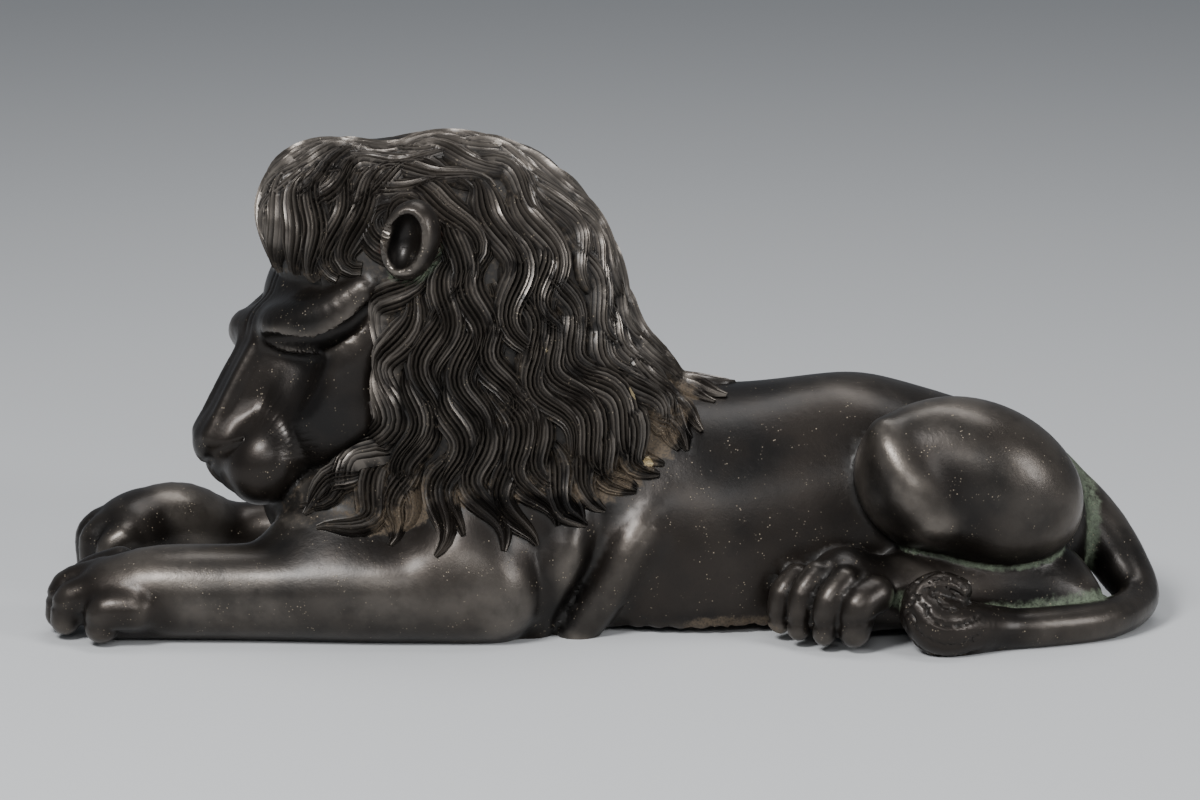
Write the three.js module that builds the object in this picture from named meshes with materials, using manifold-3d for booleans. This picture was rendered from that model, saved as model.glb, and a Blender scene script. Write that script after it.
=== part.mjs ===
// A reclining lion, cast in bronze as one piece, about 360 mm long.
//
// Frame: millimetres, +Z up. The lion faces -X and its left side, the side with the tail's tuft,
// faces -Y. The origin is on the surface that it lies on, under the middle of its length and width.
//
// The form is a distance field: round masses and limbs that flow into one another, with creases where
// two masses only meet. Sizes inside the figure are in figure units, 360 to the lion's length.
// The field is skinned by marching cubes, simplified, and cut flat below.

import * as THREE from "three";
import { triTable } from "three/addons/objects/MarchingCubes.js";
import Module from "manifold-3d";

// Driving dimensions, in millimetres
const LION_LENGTH = 360;
const SKIN_STEP = 2.5; // side of the cubes that the surface is sampled with
const MOST_TRIANGLES = 9700; // what the surface is simplified to

const FIGURE_LENGTH = 360; // figure units from the paws to the tail's bend
const BRONZE = { color: 0x2b2622, roughness: 0.38, metalness: 1.0 };

// Small sums on points [x, y, z]
const mix = (a, b, t) => a + (b - a) * t;
const clamp = (v, low, high) => Math.min(high, Math.max(low, v));
const step = (from, to, v) => {
  const t = clamp((v - from) / (to - from), 0, 1);
  return t * t * (3 - 2 * t);
};
const dot = (a, b) => a[0] * b[0] + a[1] * b[1] + a[2] * b[2];
const add = (a, b, scale = 1) => [a[0] + b[0] * scale, a[1] + b[1] * scale, a[2] + b[2] * scale];
const unit = (a) => add([0, 0, 0], a, 1 / Math.max(Math.hypot(...a), 1e-9));
const cross = (a, b) => [a[1] * b[2] - a[2] * b[1], a[2] * b[0] - a[0] * b[2], a[0] * b[1] - a[1] * b[0]];

// Forms. Each is a function of x, y, z that gives the distance to its surface, negative inside.

/** An egg-shaped mass, turned by degrees about X, Y and Z. */
function mass([cx, cy, cz], [rx, ry, rz], turn = [0, 0, 0]) {
  const angles = new THREE.Euler(...turn.map(THREE.MathUtils.degToRad));
  const m = new THREE.Matrix4().makeRotationFromEuler(angles).elements;
  return (x, y, z) => {
    const dx = x - cx;
    const dy = y - cy;
    const dz = z - cz;
    const u = (m[0] * dx + m[1] * dy + m[2] * dz) / rx;
    const v = (m[4] * dx + m[5] * dy + m[6] * dz) / ry;
    const w = (m[8] * dx + m[9] * dy + m[10] * dz) / rz;
    const near = Math.sqrt(u * u + v * v + w * w);
    const slope = Math.sqrt((u * u) / (rx * rx) + (v * v) / (ry * ry) + (w * w) / (rz * rz));
    return slope < 1e-9 ? -Math.min(rx, ry, rz) : (near * (near - 1)) / slope;
  };
}

/** A smooth path through points [x, y, z, r], with a number of steps between each two. */
function smoothPath(points, steps) {
  const path = [];
  for (let i = 0; i < points.length - 1; i += 1) {
    const [a, b, c, d] = [i - 1, i, i + 1, i + 2].map((k) => points[clamp(k, 0, points.length - 1)]);
    for (let s = 0; s < steps; s += 1) {
      const t = s / steps;
      path.push(
        b.map((v, k) => {
          const slope = c[k] - a[k];
          const bend = 2 * a[k] - 5 * v + 4 * c[k] - d[k];
          const twist = 3 * (v - c[k]) + d[k] - a[k];
          return v + 0.5 * t * (slope + t * (bend + t * twist));
        }),
      );
    }
  }
  path.push(points[points.length - 1]);
  return path;
}

/** A round limb that follows points [x, y, z, r]. */
function limb(points, steps = 4) {
  const path = steps > 1 ? smoothPath(points, steps) : points;
  const middle = path.reduce((sum, p) => add(sum, p, 1 / path.length), [0, 0, 0]);
  const reach = Math.max(...path.map((p) => Math.hypot(...add(p, middle, -1).slice(0, 3)) + p[3]));
  const FAR = 26; // past this the distance to a ball around the limb is near enough
  return (x, y, z) => {
    const away = Math.hypot(x - middle[0], y - middle[1], z - middle[2]) - reach;
    if (away > FAR) return away;
    let best = Infinity;
    for (let i = 0; i < path.length - 1; i += 1) {
      const a = path[i];
      const b = path[i + 1];
      const bx = b[0] - a[0];
      const by = b[1] - a[1];
      const bz = b[2] - a[2];
      const px = x - a[0];
      const py = y - a[1];
      const pz = z - a[2];
      const t = clamp((px * bx + py * by + pz * bz) / (bx * bx + by * by + bz * bz + 1e-9), 0, 1);
      const dx = px - t * bx;
      const dy = py - t * by;
      const dz = pz - t * bz;
      best = Math.min(best, Math.sqrt(dx * dx + dy * dy + dz * dz) - mix(a[3], b[3], t));
    }
    return best;
  };
}

const softMin = (a, b, k) => {
  const h = Math.max(k - Math.abs(a - b), 0) / k;
  return Math.min(a, b) - h * h * k * 0.25;
};

/** Masses that flow into one another over a width k. */
const blend = (k, ...forms) => {
  const [first, ...rest] = forms;
  return (x, y, z) => rest.reduce((d, form) => softMin(d, form(x, y, z), k), first(x, y, z));
};

/** A form with others hollowed out of it, with an edge rounded over a width k. */
const hollowed = (k, form, ...tools) => {
  return (x, y, z) => tools.reduce((d, tool) => -softMin(-d, tool(x, y, z), k), form(x, y, z));
};

/** A form built on axes of its own, such as the head's: an origin and three unit axes. */
const placed = (origin, [f, s, u], form) => {
  return (x, y, z) => {
    const d = [x - origin[0], y - origin[1], z - origin[2]];
    return form(dot(d, f), dot(d, s), dot(d, u));
  };
};

/** The same form on the lion's other side. */
const otherSide = (form) => (x, y, z) => form(x, -y, z);

/** A form moved in towards the middle from the far side, and down. */
const sunk = (form, inward, down) => (x, y, z) => form(x, y + inward, z + down);

// Torso: chest, ribs, loins and rump, with the sway of the back

function torso() {
  const body = blend(
    16,
    mass([-30, 0, 36], [56, 41, 42]),
    mass([30, 0, 22], [62, 42, 53]),
    mass([80, 1, 30], [52, 33, 48.5]),
    mass([118, 0, 33], [37, 27, 33.5]),
    mass([146, 0, 25], [15.5, 22, 24]),
  );
  // The belly's rim stands a little off the ground between the elbow and the hind paw.
  const BELLY_RIM = 1.6;
  const rim = (x) => BELLY_RIM * step(-24, -10, x) * (1 - step(56, 70, x));
  return (x, y, z) => -softMin(-body(x, y, z), -(rim(x) - z), 1.2);
}

// Hind legs: the thigh over the folded shank, the foot flat on the ground

function thigh() {
  return blend(
    7,
    mass([121, -34, 49.5], [36, 21, 26.5], [0, 24, 0]),
    mass([100, -35, 50], [18, 16, 22], [0, -26, 0]),
    limb([
      [90, -40, 67.5, 3],
      [93, -46, 61, 4],
      [99, -50, 51, 6],
      [107, -48, 42, 8],
    ]),
  );
}

function hindFoot() {
  return blend(
    6,
    limb([
      [154, -34, 11, 8.5],
      [144, -34, 12, 11],
      [124, -35, 13, 12],
      [104, -38, 15, 12.5],
      [88, -43, 15, 12],
    ]),
    mass([126, -29, 20], [32, 13, 15], [0, 6, 0]),
  );
}

/** Four toes that arch from their knuckles to the ground; each is [knuckle, tip] with its width. */
function toes(k, list) {
  return blend(
    k,
    ...list.map(([knuckle, tip, r]) => {
      const bend = [0, 1, 2].map((i) => mix(knuckle[i], tip[i], 0.5));
      const bow = [(tip[0] - knuckle[0]) * 0.28, (tip[1] - knuckle[1]) * 0.28, 2.2];
      return limb([
        [...knuckle, r],
        [...add(bend, bow), r * 1.02],
        [...tip, r * 0.82],
      ]);
    }),
  );
}

function hindPaw() {
  return blend(
    2.2,
    mass([79, -44, 16], [14, 14, 14.5]),
    toes(0.8, [
      [[63, -42, 20], [57, -46, 6], 4.6],
      [[69, -50, 23], [63, -54, 6], 4.6],
      [[77.5, -55.5, 22], [71, -60, 6], 4.8],
      [[87, -57, 18], [80.5, -61, 7], 6.4],
    ]),
  );
}

// Tail: down from the rump, round behind the hock, and forward along the ground to its tuft

function tail() {
  return limb(
    [
      [137, 2, 51, 9],
      [149.5, 1, 41, 9.8],
      [162, -2, 28, 10.2],
      [171, -10, 16, 9],
      [175, -23, 8, 6.8],
      [163, -41, 6, 6.6],
      [142, -51, 5.8, 6.6],
      [126, -55, 6, 6.8],
    ],
    6,
  );
}

function tuft() {
  return blend(
    1.2,
    limb(
      [
        [127, -55, 6.5, 6.8],
        [117, -59, 7.5, 8.8],
        [108, -62, 9, 9.8],
        [102.5, -61, 14, 7.6],
      ],
      6,
    ),
    limb(
      [
        [101, -61, 12, 6],
        [101.5, -60, 18, 5.4],
        [107.5, -59, 21.5, 4.8],
        [114, -58.5, 20, 4.2],
      ],
      6,
    ),
  );
}

// Forelegs: stretched forward on the ground; the right one turns in at the wrist

function nearForeleg() {
  return blend(
    7,
    mass([-34, -24, 36], [38, 25, 30]),
    mass([-44, -36, 24], [22, 22, 24]),
    mass([-84, -32, 24], [28, 18, 20]),
    limb([
      [-36, -41, 16, 18],
      [-70, -42, 16, 17.5],
      [-112, -41, 15, 15.6],
      [-142, -41, 15, 15.2],
      [-157, -41, 13, 13.5],
    ]),
  );
}

function nearPaw() {
  return toes(0.7, [
    [[-150, -52.5, 12], [-161, -52.5, 6.5], 6.8],
    [[-160, -44, 16], [-173.5, -44, 6.5], 6],
    [[-162, -36, 19], [-176, -36, 6.5], 6],
    [[-157, -28.5, 21], [-171.5, -28.5, 6.5], 6],
  ]);
}

function farForeleg() {
  return blend(
    6,
    mass([-34, 26, 34], [36, 22, 30]),
    limb([
      [-36, 42, 16, 17],
      [-70, 52, 12.5, 14],
      [-106, 56, 11.5, 12],
      [-127, 54, 11, 11.5],
      [-143, 46, 17, 14],
      [-154, 41, 17, 13.5],
    ]),
  );
}

function farPaw() {
  return blend(
    2,
    mass([-159, 38, 15], [14, 16, 14]),
    toes(1, [
      [[-161, 25, 17], [-166, 24, 6], 5.4],
      [[-168, 32, 18.5], [-172, 31, 6], 5.4],
      [[-170, 39, 18.5], [-174, 39, 6], 5.4],
      [[-166, 47, 16.5], [-170, 48, 6], 5.4],
    ]),
  );
}

/** The folds of skin behind the elbow. */
function elbowFolds() {
  return blend(
    2.5,
    limb([
      [-8, -30, 46, 7],
      [-13, -39, 30, 9.5],
      [-19, -39, 16, 9],
      [-24, -36, 2, 8],
    ]),
    limb([
      [20, -30, 44, 5],
      [10, -38, 30, 7],
      [2, -39, 16, 7],
      [-8, -38, 2, 7],
    ]),
  );
}

// Head: bowed, and turned a little to the lion's left. Its own axes run forward along the nose,
// to the lion's left, and up out of the nose's bridge; its origin is the root of the nose.

const HEAD_AT = [-117, -13, 92];
const HEAD_BOWED = THREE.MathUtils.degToRad(60);
const HEAD_TURNED = THREE.MathUtils.degToRad(20);
const HEAD_AXES = (() => {
  const level = [-Math.cos(HEAD_TURNED), -Math.sin(HEAD_TURNED), 0];
  const forward = add([0, 0, -Math.sin(HEAD_BOWED)], level, Math.cos(HEAD_BOWED));
  const left = [Math.sin(HEAD_TURNED), -Math.cos(HEAD_TURNED), 0];
  const up = add([0, 0, Math.cos(HEAD_BOWED)], level, Math.sin(HEAD_BOWED));
  return [forward, left, up];
})();

/** The face, in the head's axes; both sides are alike. */
function face() {
  const skull = mass([-29, 0, -23], [30, 38.5, 25.5]);
  const muzzle = blend(
    4,
    mass([2, 0, -27], [28, 21, 19]),
    limb([
      [-12, 0, -10, 9.5],
      [8, 0, -9.5, 9],
      [32.5, 0, -9.5, 8.5],
    ]),
    mass([31.5, 0, -10], [9, 10, 9]),
    mass([27, 0, -22], [18.5, 17, 17]),
    mass([33, 9.5, -18], [13, 12, 10.5]),
  );
  const cheek = blend(
    5,
    mass([-4, 24, -35], [26, 14.5, 21], [-16, 0, 0]),
    limb([
      [-9, 29, -20, 5.5],
      [-17, 34, -23, 5.5],
      [-27, 36, -27, 6],
    ]),
    limb([
      [30, 6, -28, 10],
      [16, 14, -30, 12.5],
      [2, 24, -35, 13],
    ]),
  );
  const brow = limb([
    [-9, 6, -5, 5.4],
    [-9, 13, -5, 7.2],
    [-13, 21, -9, 8],
    [-21, 29, -14.5, 7.6],
    [-33, 36.5, -19, 5.6],
  ]);
  // The eye is lost in a furrow under the brow.
  const furrow = limb([
    [0, 10, -3.5, 2.2],
    [1, 17, -6, 3.4],
    [-3, 26, -11, 3.2],
    [-12, 34, -17, 2.2],
    [-26, 41, -23, 1.5],
  ]);
  const hollow = mass([10, 26, -11], [17, 7.5, 8], [30, 0, 10]);
  const nostril = limb([
    [38.5, 5.5, -9, 1.5],
    [39, 9, -11, 1.2],
  ]);
  const base = blend(8, blend(4, skull, muzzle), cheek);
  const carved = hollowed(2, hollowed(8, base, hollow), furrow);
  const browed = blend(1.5, carved, brow);
  const done = hollowed(1, browed, nostril);
  return (f, s, u) => done(f, Math.abs(s), u);
}

const EAR_AT = [-61, -44.5, 131];

function ear() {
  const shell = mass(EAR_AT, [9.4, 8, 12.8], [0, 8, 0]);
  const cup = mass(add(EAR_AT, [-2.2, -6, 0.5]), [6.4, 9, 9.4], [0, 8, 0]);
  return hollowed(1, shell, cup);
}

// Mane: the mass that the locks lie on, kept clear of the face

function maneMass() {
  const full = blend(
    14,
    mass([-90, 0, 130.5], [20, 29, 22]),
    mass([-50, 0, 97], [56, 46.5, 58.5]),
    mass([-42, 0, 60], [46, 44, 36]),
    mass([-8, 0, 66], [33, 39, 30]),
    mass([-79, -3, 44], [34, 37, 33]),
  );
  const [forward] = HEAD_AXES;
  const level = unit([forward[0], forward[1], 0]);
  const HAIR_EDGE = 80; // how far in front of the lion's middle the hair ends, beside the face
  const HAIRLINE = 117; // how high the brow is
  const JAW = 47; // how high the jaw's front is, above the beard
  const faceRoom = (x, y, z) => {
    const behind = HAIR_EDGE - (x * level[0] + y * level[1]);
    const jaw = JAW + 0.62 * Math.max(0, behind + 26) - z;
    return Math.max(behind, z - HAIRLINE, jaw);
  };
  return hollowed(3, full, faceRoom);
}

// Assembly of the field

const headForm = placed(HEAD_AT, HEAD_AXES, face());
const mane = maneMass();
const FAR_HIP_DROP = 18; // the hips roll to the lion's right, which sets the far thigh lower
const trunk = blend(
  2.5,
  blend(5, torso(), elbowFolds()),
  thigh(),
  sunk(otherSide(thigh()), 4, FAR_HIP_DROP),
  hindFoot(),
  otherSide(hindFoot()),
);
const legs = blend(2.5, nearForeleg(), farForeleg(), nearPaw(), farPaw(), hindPaw(), otherSide(hindPaw()));
const coat = blend(5, blend(2.5, trunk, legs), mane);
const plainLion = blend(
  1.5,
  coat,
  headForm,
  ear(),
  otherSide(ear()),
  blend(2, tail(), tuft()),
);

// Hair: locks that rise from the brow, go over the ears and fall to the shoulders

const EAR_LEVEL = EAR_AT[2];

/** How far the hair has stopped going round the ear, from 0 to 1, and now falls. */
const falling = ([x, , z]) => {
  const below = EAR_LEVEL - z;
  const behind = step(-30, -12, x - EAR_AT[0]);
  return step(2, 26, below) * Math.max(behind, step(30, 50, below));
};

/** The way the hair lies at a point: round the ear, then down, fanning out towards the tips. */
function hairFlow(p) {
  const ex = p[0] - EAR_AT[0];
  const ez = p[2] - EAR_LEVEL;
  const around = unit([ez, 0, -ex]);
  const fan = 0.013 * (p[0] + 50) - 0.05 * Math.max(0, -66 - p[0]);
  const down = unit([fan, 0, -1]);
  const fall = falling(p);
  return unit([mix(around[0], down[0], fall), 0, mix(around[2], down[2], fall)]);
}

/** How far along the hair a point is: the same for neighbouring locks, so that they wave together. */
function alongHair(p) {
  const ex = p[0] - EAR_AT[0];
  const ez = p[2] - EAR_LEVEL;
  return mix(-Math.atan2(ez, ex) * 45, -p[2], falling(p));
}

/** The gradient of a form, which points out of its surface. */
function outward(form, [x, y, z], e = 0.4) {
  return unit([
    form(x + e, y, z) - form(x - e, y, z),
    form(x, y + e, z) - form(x, y - e, z),
    form(x, y, z + e) - form(x, y, z - e),
  ]);
}

/** A repeatable fraction from 0 to 1 for a whole number. */
const chance = (n) => {
  const v = Math.sin(n * 127.1 + 311.7) * 43758.5453;
  return v - Math.floor(v);
};

/** The height of the mane's lower edge above the ground, along the lion. */
const tipHeight = (x) => 33 + (x > -40 ? 0.0065 : 0.003) * (x + 40) * (x + 40);

/** Follows the hair over the surface from a root, waving from side to side. */
function lockPath(root, length, seed) {
  const STRIDE = 4;
  const WAVE_LENGTH = 36;
  const SWAY = 0.55; // slope of the wave against the flow
  const start = alongHair(root) + 9 * chance(seed);
  const path = [];
  let p = root;
  for (let along = 0; along <= length; along += STRIDE) {
    const n = outward(coat, p);
    p = add(p, n, -coat(...p));
    if (p[2] < tipHeight(p[0]) - 4 || headForm(...p) < -2) break;
    path.push(p);
    const flow = hairFlow(p);
    const level = unit(add(flow, n, -dot(flow, n)));
    const sideways = cross(n, level);
    const sway = SWAY * Math.sin((2 * Math.PI * (along + start)) / WAVE_LENGTH);
    p = add(p, unit(add(level, sideways, sway)), STRIDE);
  }
  return path;
}

/** The locks' roots, spread evenly over the mane: close side by side, farther apart along the hair. */
function lockRoots() {
  const MIDDLE = [-45, 0, 84];
  const OUTSIDE = 120;
  const RAYS = 2600;
  const SIDE_BY_SIDE = 10.5;
  const ALONG = 34;
  const GOLDEN_ANGLE = Math.PI * (3 - Math.sqrt(5));
  const roots = [];
  for (let i = 0; i < RAYS; i += 1) {
    const height = 1 - (2 * (((i * 997) % RAYS) + 0.5)) / RAYS;
    const turn = GOLDEN_ANGLE * ((i * 997) % RAYS);
    const flat = Math.sqrt(1 - height * height);
    const ray = [flat * Math.cos(turn), flat * Math.sin(turn), height];
    let p = add(MIDDLE, ray, OUTSIDE);
    for (let k = 0; k < 60 && coat(...p) > 0.05; k += 1) p = add(p, ray, -coat(...p) * 0.8);
    const flow = hairFlow(p);
    const crowded = roots.some((q) => {
      const d = add(p, q, -1);
      const along = dot(d, flow);
      const across = Math.sqrt(Math.max(0, dot(d, d) - along * along));
      return (across / SIDE_BY_SIDE) ** 2 + (along / ALONG) ** 2 < 1;
    });
    if (!crowded && mane(...p) < 2 && headForm(...p) > 1.5 && p[2] > tipHeight(p[0])) roots.push(p);
  }
  return roots;
}

/** One lock: full in the middle, thin at its root and tip. */
function lock(root, seed) {
  const path = lockPath(root, 48 + 16 * chance(seed + 0.5), seed);
  if (path.length < 4) return null;
  const THICK = 5.3;
  return limb(
    path.map((p, i) => {
      const t = i / (path.length - 1);
      const r = THICK * (0.45 + 0.55 * Math.sin(Math.PI * Math.min(1, t * 1.15 + 0.12)));
      return [...add(p, outward(coat, p), r * (0.3 * t - 0.15)), Math.max(1.3, r * (1 - 0.65 * t * t * t))];
    }),
    1,
  );
}

const locks = lockRoots()
  .map((root, i) => lock(root, i))
  .filter(Boolean);
const lion = blend(0.8, plainLion, ...locks);

// Skin: marching cubes over the field

/** The surface of a form inside a box, as points and triangles that share their corners. */
function skin(form, low, high, side) {
  const count = [0, 1, 2].map((i) => Math.ceil((high[i] - low[i]) / side) + 1);
  const at = (i, j, k) => i + count[0] * (j + count[1] * k);
  const value = new Float32Array(count[0] * count[1] * count[2]);
  const BLOCK = 5;
  const reach = BLOCK * side * 1.3 + 1; // a block whose middle is farther out than this holds no surface
  for (let k0 = 0; k0 < count[2]; k0 += BLOCK)
    for (let j0 = 0; j0 < count[1]; j0 += BLOCK)
      for (let i0 = 0; i0 < count[0]; i0 += BLOCK) {
        const middle = [i0, j0, k0].map((n, axis) => low[axis] + (n + (BLOCK - 1) / 2) * side);
        const far = form(...middle);
        for (let k = k0; k < Math.min(k0 + BLOCK, count[2]); k += 1)
          for (let j = j0; j < Math.min(j0 + BLOCK, count[1]); j += 1)
            for (let i = i0; i < Math.min(i0 + BLOCK, count[0]); i += 1) {
              const v =
                Math.abs(far) > reach ? far : form(low[0] + i * side, low[1] + j * side, low[2] + k * side);
              value[at(i, j, k)] = Math.abs(v) < 0.02 * side ? 0.02 * side : v;
            }
      }
  const CORNERS = [
    [0, 0, 0], [1, 0, 0], [1, 1, 0], [0, 1, 0],
    [0, 0, 1], [1, 0, 1], [1, 1, 1], [0, 1, 1],
  ];
  const EDGES = [
    [0, 1], [1, 2], [2, 3], [3, 0], [4, 5], [5, 6], [6, 7], [7, 4], [0, 4], [1, 5], [2, 6], [3, 7],
  ];
  const points = [];
  const triangles = [];
  const made = new Map();
  for (let k = 0; k < count[2] - 1; k += 1)
    for (let j = 0; j < count[1] - 1; j += 1)
      for (let i = 0; i < count[0] - 1; i += 1) {
        const ids = CORNERS.map(([a, b, c]) => at(i + a, j + b, k + c));
        const shape = ids.reduce((bits, id, n) => bits | (value[id] < 0 ? 1 << n : 0), 0);
        if (shape === 0 || shape === 255) continue;
        const cornerOf = (edge) => {
          const [a, b] = EDGES[edge];
          const [low_, high_] = ids[a] < ids[b] ? [a, b] : [b, a];
          const key = ids[low_] * value.length + ids[high_];
          if (!made.has(key)) {
            const t = value[ids[low_]] / (value[ids[low_]] - value[ids[high_]]);
            made.set(key, points.length);
            const part = [0, 1, 2].map((n) => mix(CORNERS[low_][n], CORNERS[high_][n], t));
            points.push([i, j, k].map((cell, n) => low[n] + side * (cell + part[n])));
          }
          return made.get(key);
        };
        for (let n = shape * 16; triTable[n] !== -1; n += 3)
          triangles.push([cornerOf(triTable[n]), cornerOf(triTable[n + 2]), cornerOf(triTable[n + 1])]);
      }
  return { points, triangles };
}

/** The largest of the closed bodies in a surface. */
function largestBody({ points, triangles }) {
  const parent = points.map((_, i) => i);
  const root = (i) => {
    let r = i;
    while (parent[r] !== r) r = parent[r];
    while (parent[i] !== r) [parent[i], i] = [r, parent[i]];
    return r;
  };
  for (const [a, b, c] of triangles) {
    parent[root(a)] = root(b);
    parent[root(b)] = root(c);
  }
  const count = new Map();
  for (const [a] of triangles) count.set(root(a), (count.get(root(a)) ?? 0) + 1);
  const [largest] = [...count].sort((p, q) => q[1] - p[1])[0];
  const renumbered = new Map();
  const kept = [];
  const numberOf = (v) => {
    if (!renumbered.has(v)) {
      renumbered.set(v, kept.length);
      kept.push(points[v]);
    }
    return renumbered.get(v);
  };
  const body = triangles.filter(([a]) => root(a) === largest).map((f) => f.map(numberOf));
  return { points: kept, triangles: body };
}

/** Moves each point onto the form's surface, so that the facets lie where the form is. */
function settle(points, form) {
  return points.map((p) => add(p, outward(form, p), -clamp(form(...p), -1, 1)));
}

// Simplification: short edges on flat ground go first, by the quadric error of the planes around them

function planeQuadric(a, b, c) {
  const n = cross(add(b, a, -1), add(c, a, -1));
  const area = Math.hypot(...n) + 1e-12;
  const [x, y, z] = add([0, 0, 0], n, 1 / area);
  const w = -(x * a[0] + y * a[1] + z * a[2]);
  return [x * x, x * y, x * z, x * w, y * y, y * z, y * w, z * z, z * w, w * w].map((v) => v * area);
}

function quadricError(q, [x, y, z]) {
  return (
    q[0] * x * x + 2 * q[1] * x * y + 2 * q[2] * x * z + 2 * q[3] * x +
    q[4] * y * y + 2 * q[5] * y * z + 2 * q[6] * y + q[7] * z * z + 2 * q[8] * z + q[9]
  );
}

/** Collapses edges in rounds until no more than a number of triangles is left. */
function simplify({ points, triangles }, most) {
  const place = points.map((p) => [...p]);
  let faces = triangles;
  const quadrics = place.map(() => new Float64Array(10));
  for (const [a, b, c] of faces) {
    const q = planeQuadric(place[a], place[b], place[c]);
    for (const v of [a, b, c]) q.forEach((value, i) => (quadrics[v][i] += value));
  }
  for (let round = 0; round < 80 && faces.length > most; round += 1) {
    const around = new Map();
    faces.forEach((f, i) => f.forEach((v) => (around.get(v) ?? around.set(v, []).get(v)).push(i)));
    const ring = (v) => new Set(around.get(v).flatMap((i) => faces[i]).filter((w) => w !== v));
    const edges = [];
    for (const f of faces)
      for (let i = 0; i < 3; i += 1) {
        const a = f[i];
        const b = f[(i + 1) % 3];
        if (a > b) continue;
        const q = quadrics[a].map((value, n) => value + quadrics[b][n]);
        const middle = add([0, 0, 0], add(place[a], place[b]), 0.5);
        const spots = [middle, place[a], place[b]];
        const errors = spots.map((p) => quadricError(q, p));
        const best = errors.indexOf(Math.min(...errors));
        const length = Math.hypot(...add(place[a], place[b], -1));
        edges.push([errors[best] + 3e-5 * length * length, a, b, spots[best]]);
      }
    edges.sort((p, q) => p[0] - q[0]);
    const locked = new Set();
    const gone = new Set();
    const cheapest = Math.ceil(edges.length * 0.25);
    let left = faces.length;
    for (const [, a, b, spot] of edges.slice(0, cheapest)) {
      if (left <= most) break;
      if (locked.has(a) || locked.has(b)) continue;
      const ringA = ring(a);
      const ringB = ring(b);
      if ([...ringA].filter((v) => ringB.has(v)).length !== 2) continue;
      if (ringA.size + ringB.size > 16) continue;
      const joined = (i) => faces[i].includes(a) && faces[i].includes(b);
      const kept = [...around.get(a), ...around.get(b)].filter((i) => !joined(i));
      const turnsOver = kept.some((i) => {
        const before = faces[i].map((v) => place[v]);
        const after = faces[i].map((v) => (v === a || v === b ? spot : place[v]));
        const [n, m] = [before, after].map(([p, q, r]) => cross(add(q, p, -1), add(r, p, -1)));
        return dot(n, m) < 0.3 * Math.hypot(...n) * Math.hypot(...m) || Math.hypot(...m) < 0.02;
      });
      if (turnsOver) continue;
      for (const v of [a, b, ...ringA, ...ringB]) locked.add(v);
      for (const i of around.get(b)) {
        if (faces[i].includes(a)) gone.add(i);
        else faces[i] = faces[i].map((v) => (v === b ? a : v));
      }
      place[a] = spot;
      quadrics[a] = quadrics[a].map((value, n) => value + quadrics[b][n]);
      left -= 2;
    }
    faces = faces.filter((_, i) => !gone.has(i));
  }
  return { points: place, triangles: faces };
}

// The solid: skinned, simplified and cut flat where it lies

function toGeometry(vertices, indices) {
  const geometry = new THREE.BufferGeometry();
  geometry.setAttribute("position", new THREE.BufferAttribute(new Float32Array(vertices), 3));
  geometry.setIndex(new THREE.BufferAttribute(new Uint32Array(indices), 1));
  return geometry;
}

const wasm = await Module();
wasm.setup();

function toSolid(geometry) {
  return new wasm.Manifold(
    new wasm.Mesh({
      numProp: 3,
      vertProperties: geometry.attributes.position.array,
      triVerts: new Uint32Array(geometry.index.array),
    }),
  );
}

/** A box geometry whose eight corners are shared. */
function blockGeometry(low, high) {
  const corners = [0, 1, 2, 3, 4, 5, 6, 7].flatMap((n) => [
    (n & 1 ? high : low)[0],
    (n & 2 ? high : low)[1],
    (n & 4 ? high : low)[2],
  ]);
  const sides = [
    [0, 2, 3, 1],
    [4, 5, 7, 6],
    [0, 1, 5, 4],
    [2, 6, 7, 3],
    [0, 4, 6, 2],
    [1, 3, 7, 5],
  ];
  return toGeometry(corners, sides.flatMap(([a, b, c, d]) => [a, b, c, a, c, d]));
}

function lionGeometry() {
  const raw = largestBody(skin(lion, [-190, -82, -12], [190, 82, 172], SKIN_STEP));
  const settled = { points: settle(raw.points, lion), triangles: raw.triangles };
  const simple = simplify(settled, MOST_TRIANGLES);
  const whole = toSolid(toGeometry(simple.points.flat(), simple.triangles.flat()));
  const below = toSolid(blockGeometry([-300, -300, -60], [300, 300, 0]));
  const mesh = whole.subtract(below).getMesh();
  const geometry = toGeometry(mesh.vertProperties, mesh.triVerts);
  const scale = LION_LENGTH / FIGURE_LENGTH;
  geometry.scale(scale, scale, scale);
  geometry.computeBoundingBox();
  const { min, max } = geometry.boundingBox;
  geometry.translate(-(min.x + max.x) / 2, -(min.y + max.y) / 2, -min.z);
  geometry.computeVertexNormals();
  return geometry;
}

const group = new THREE.Group();
const cast = new THREE.Mesh(lionGeometry(), new THREE.MeshStandardMaterial(BRONZE));
cast.name = "lion";
group.add(cast);

export default group;
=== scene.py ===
"""A reclining lion cast in bronze: the form cut fine, the hair of its mane, its patina with painted shade
and highlights, and a studio.

The form is a distance field in figure units, one to the millimetre: round masses and limbs that flow
into one another. It is skinned, and the skin is split where the modelling is fine. The locks of the mane
follow guides laid over the form, and everything is joined into one casting and cut flat where it lies.
"""

import sys
import logging
import math
from dataclasses import dataclass, field
from enum import Enum
from typing import Callable, Iterable, Sequence

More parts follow.
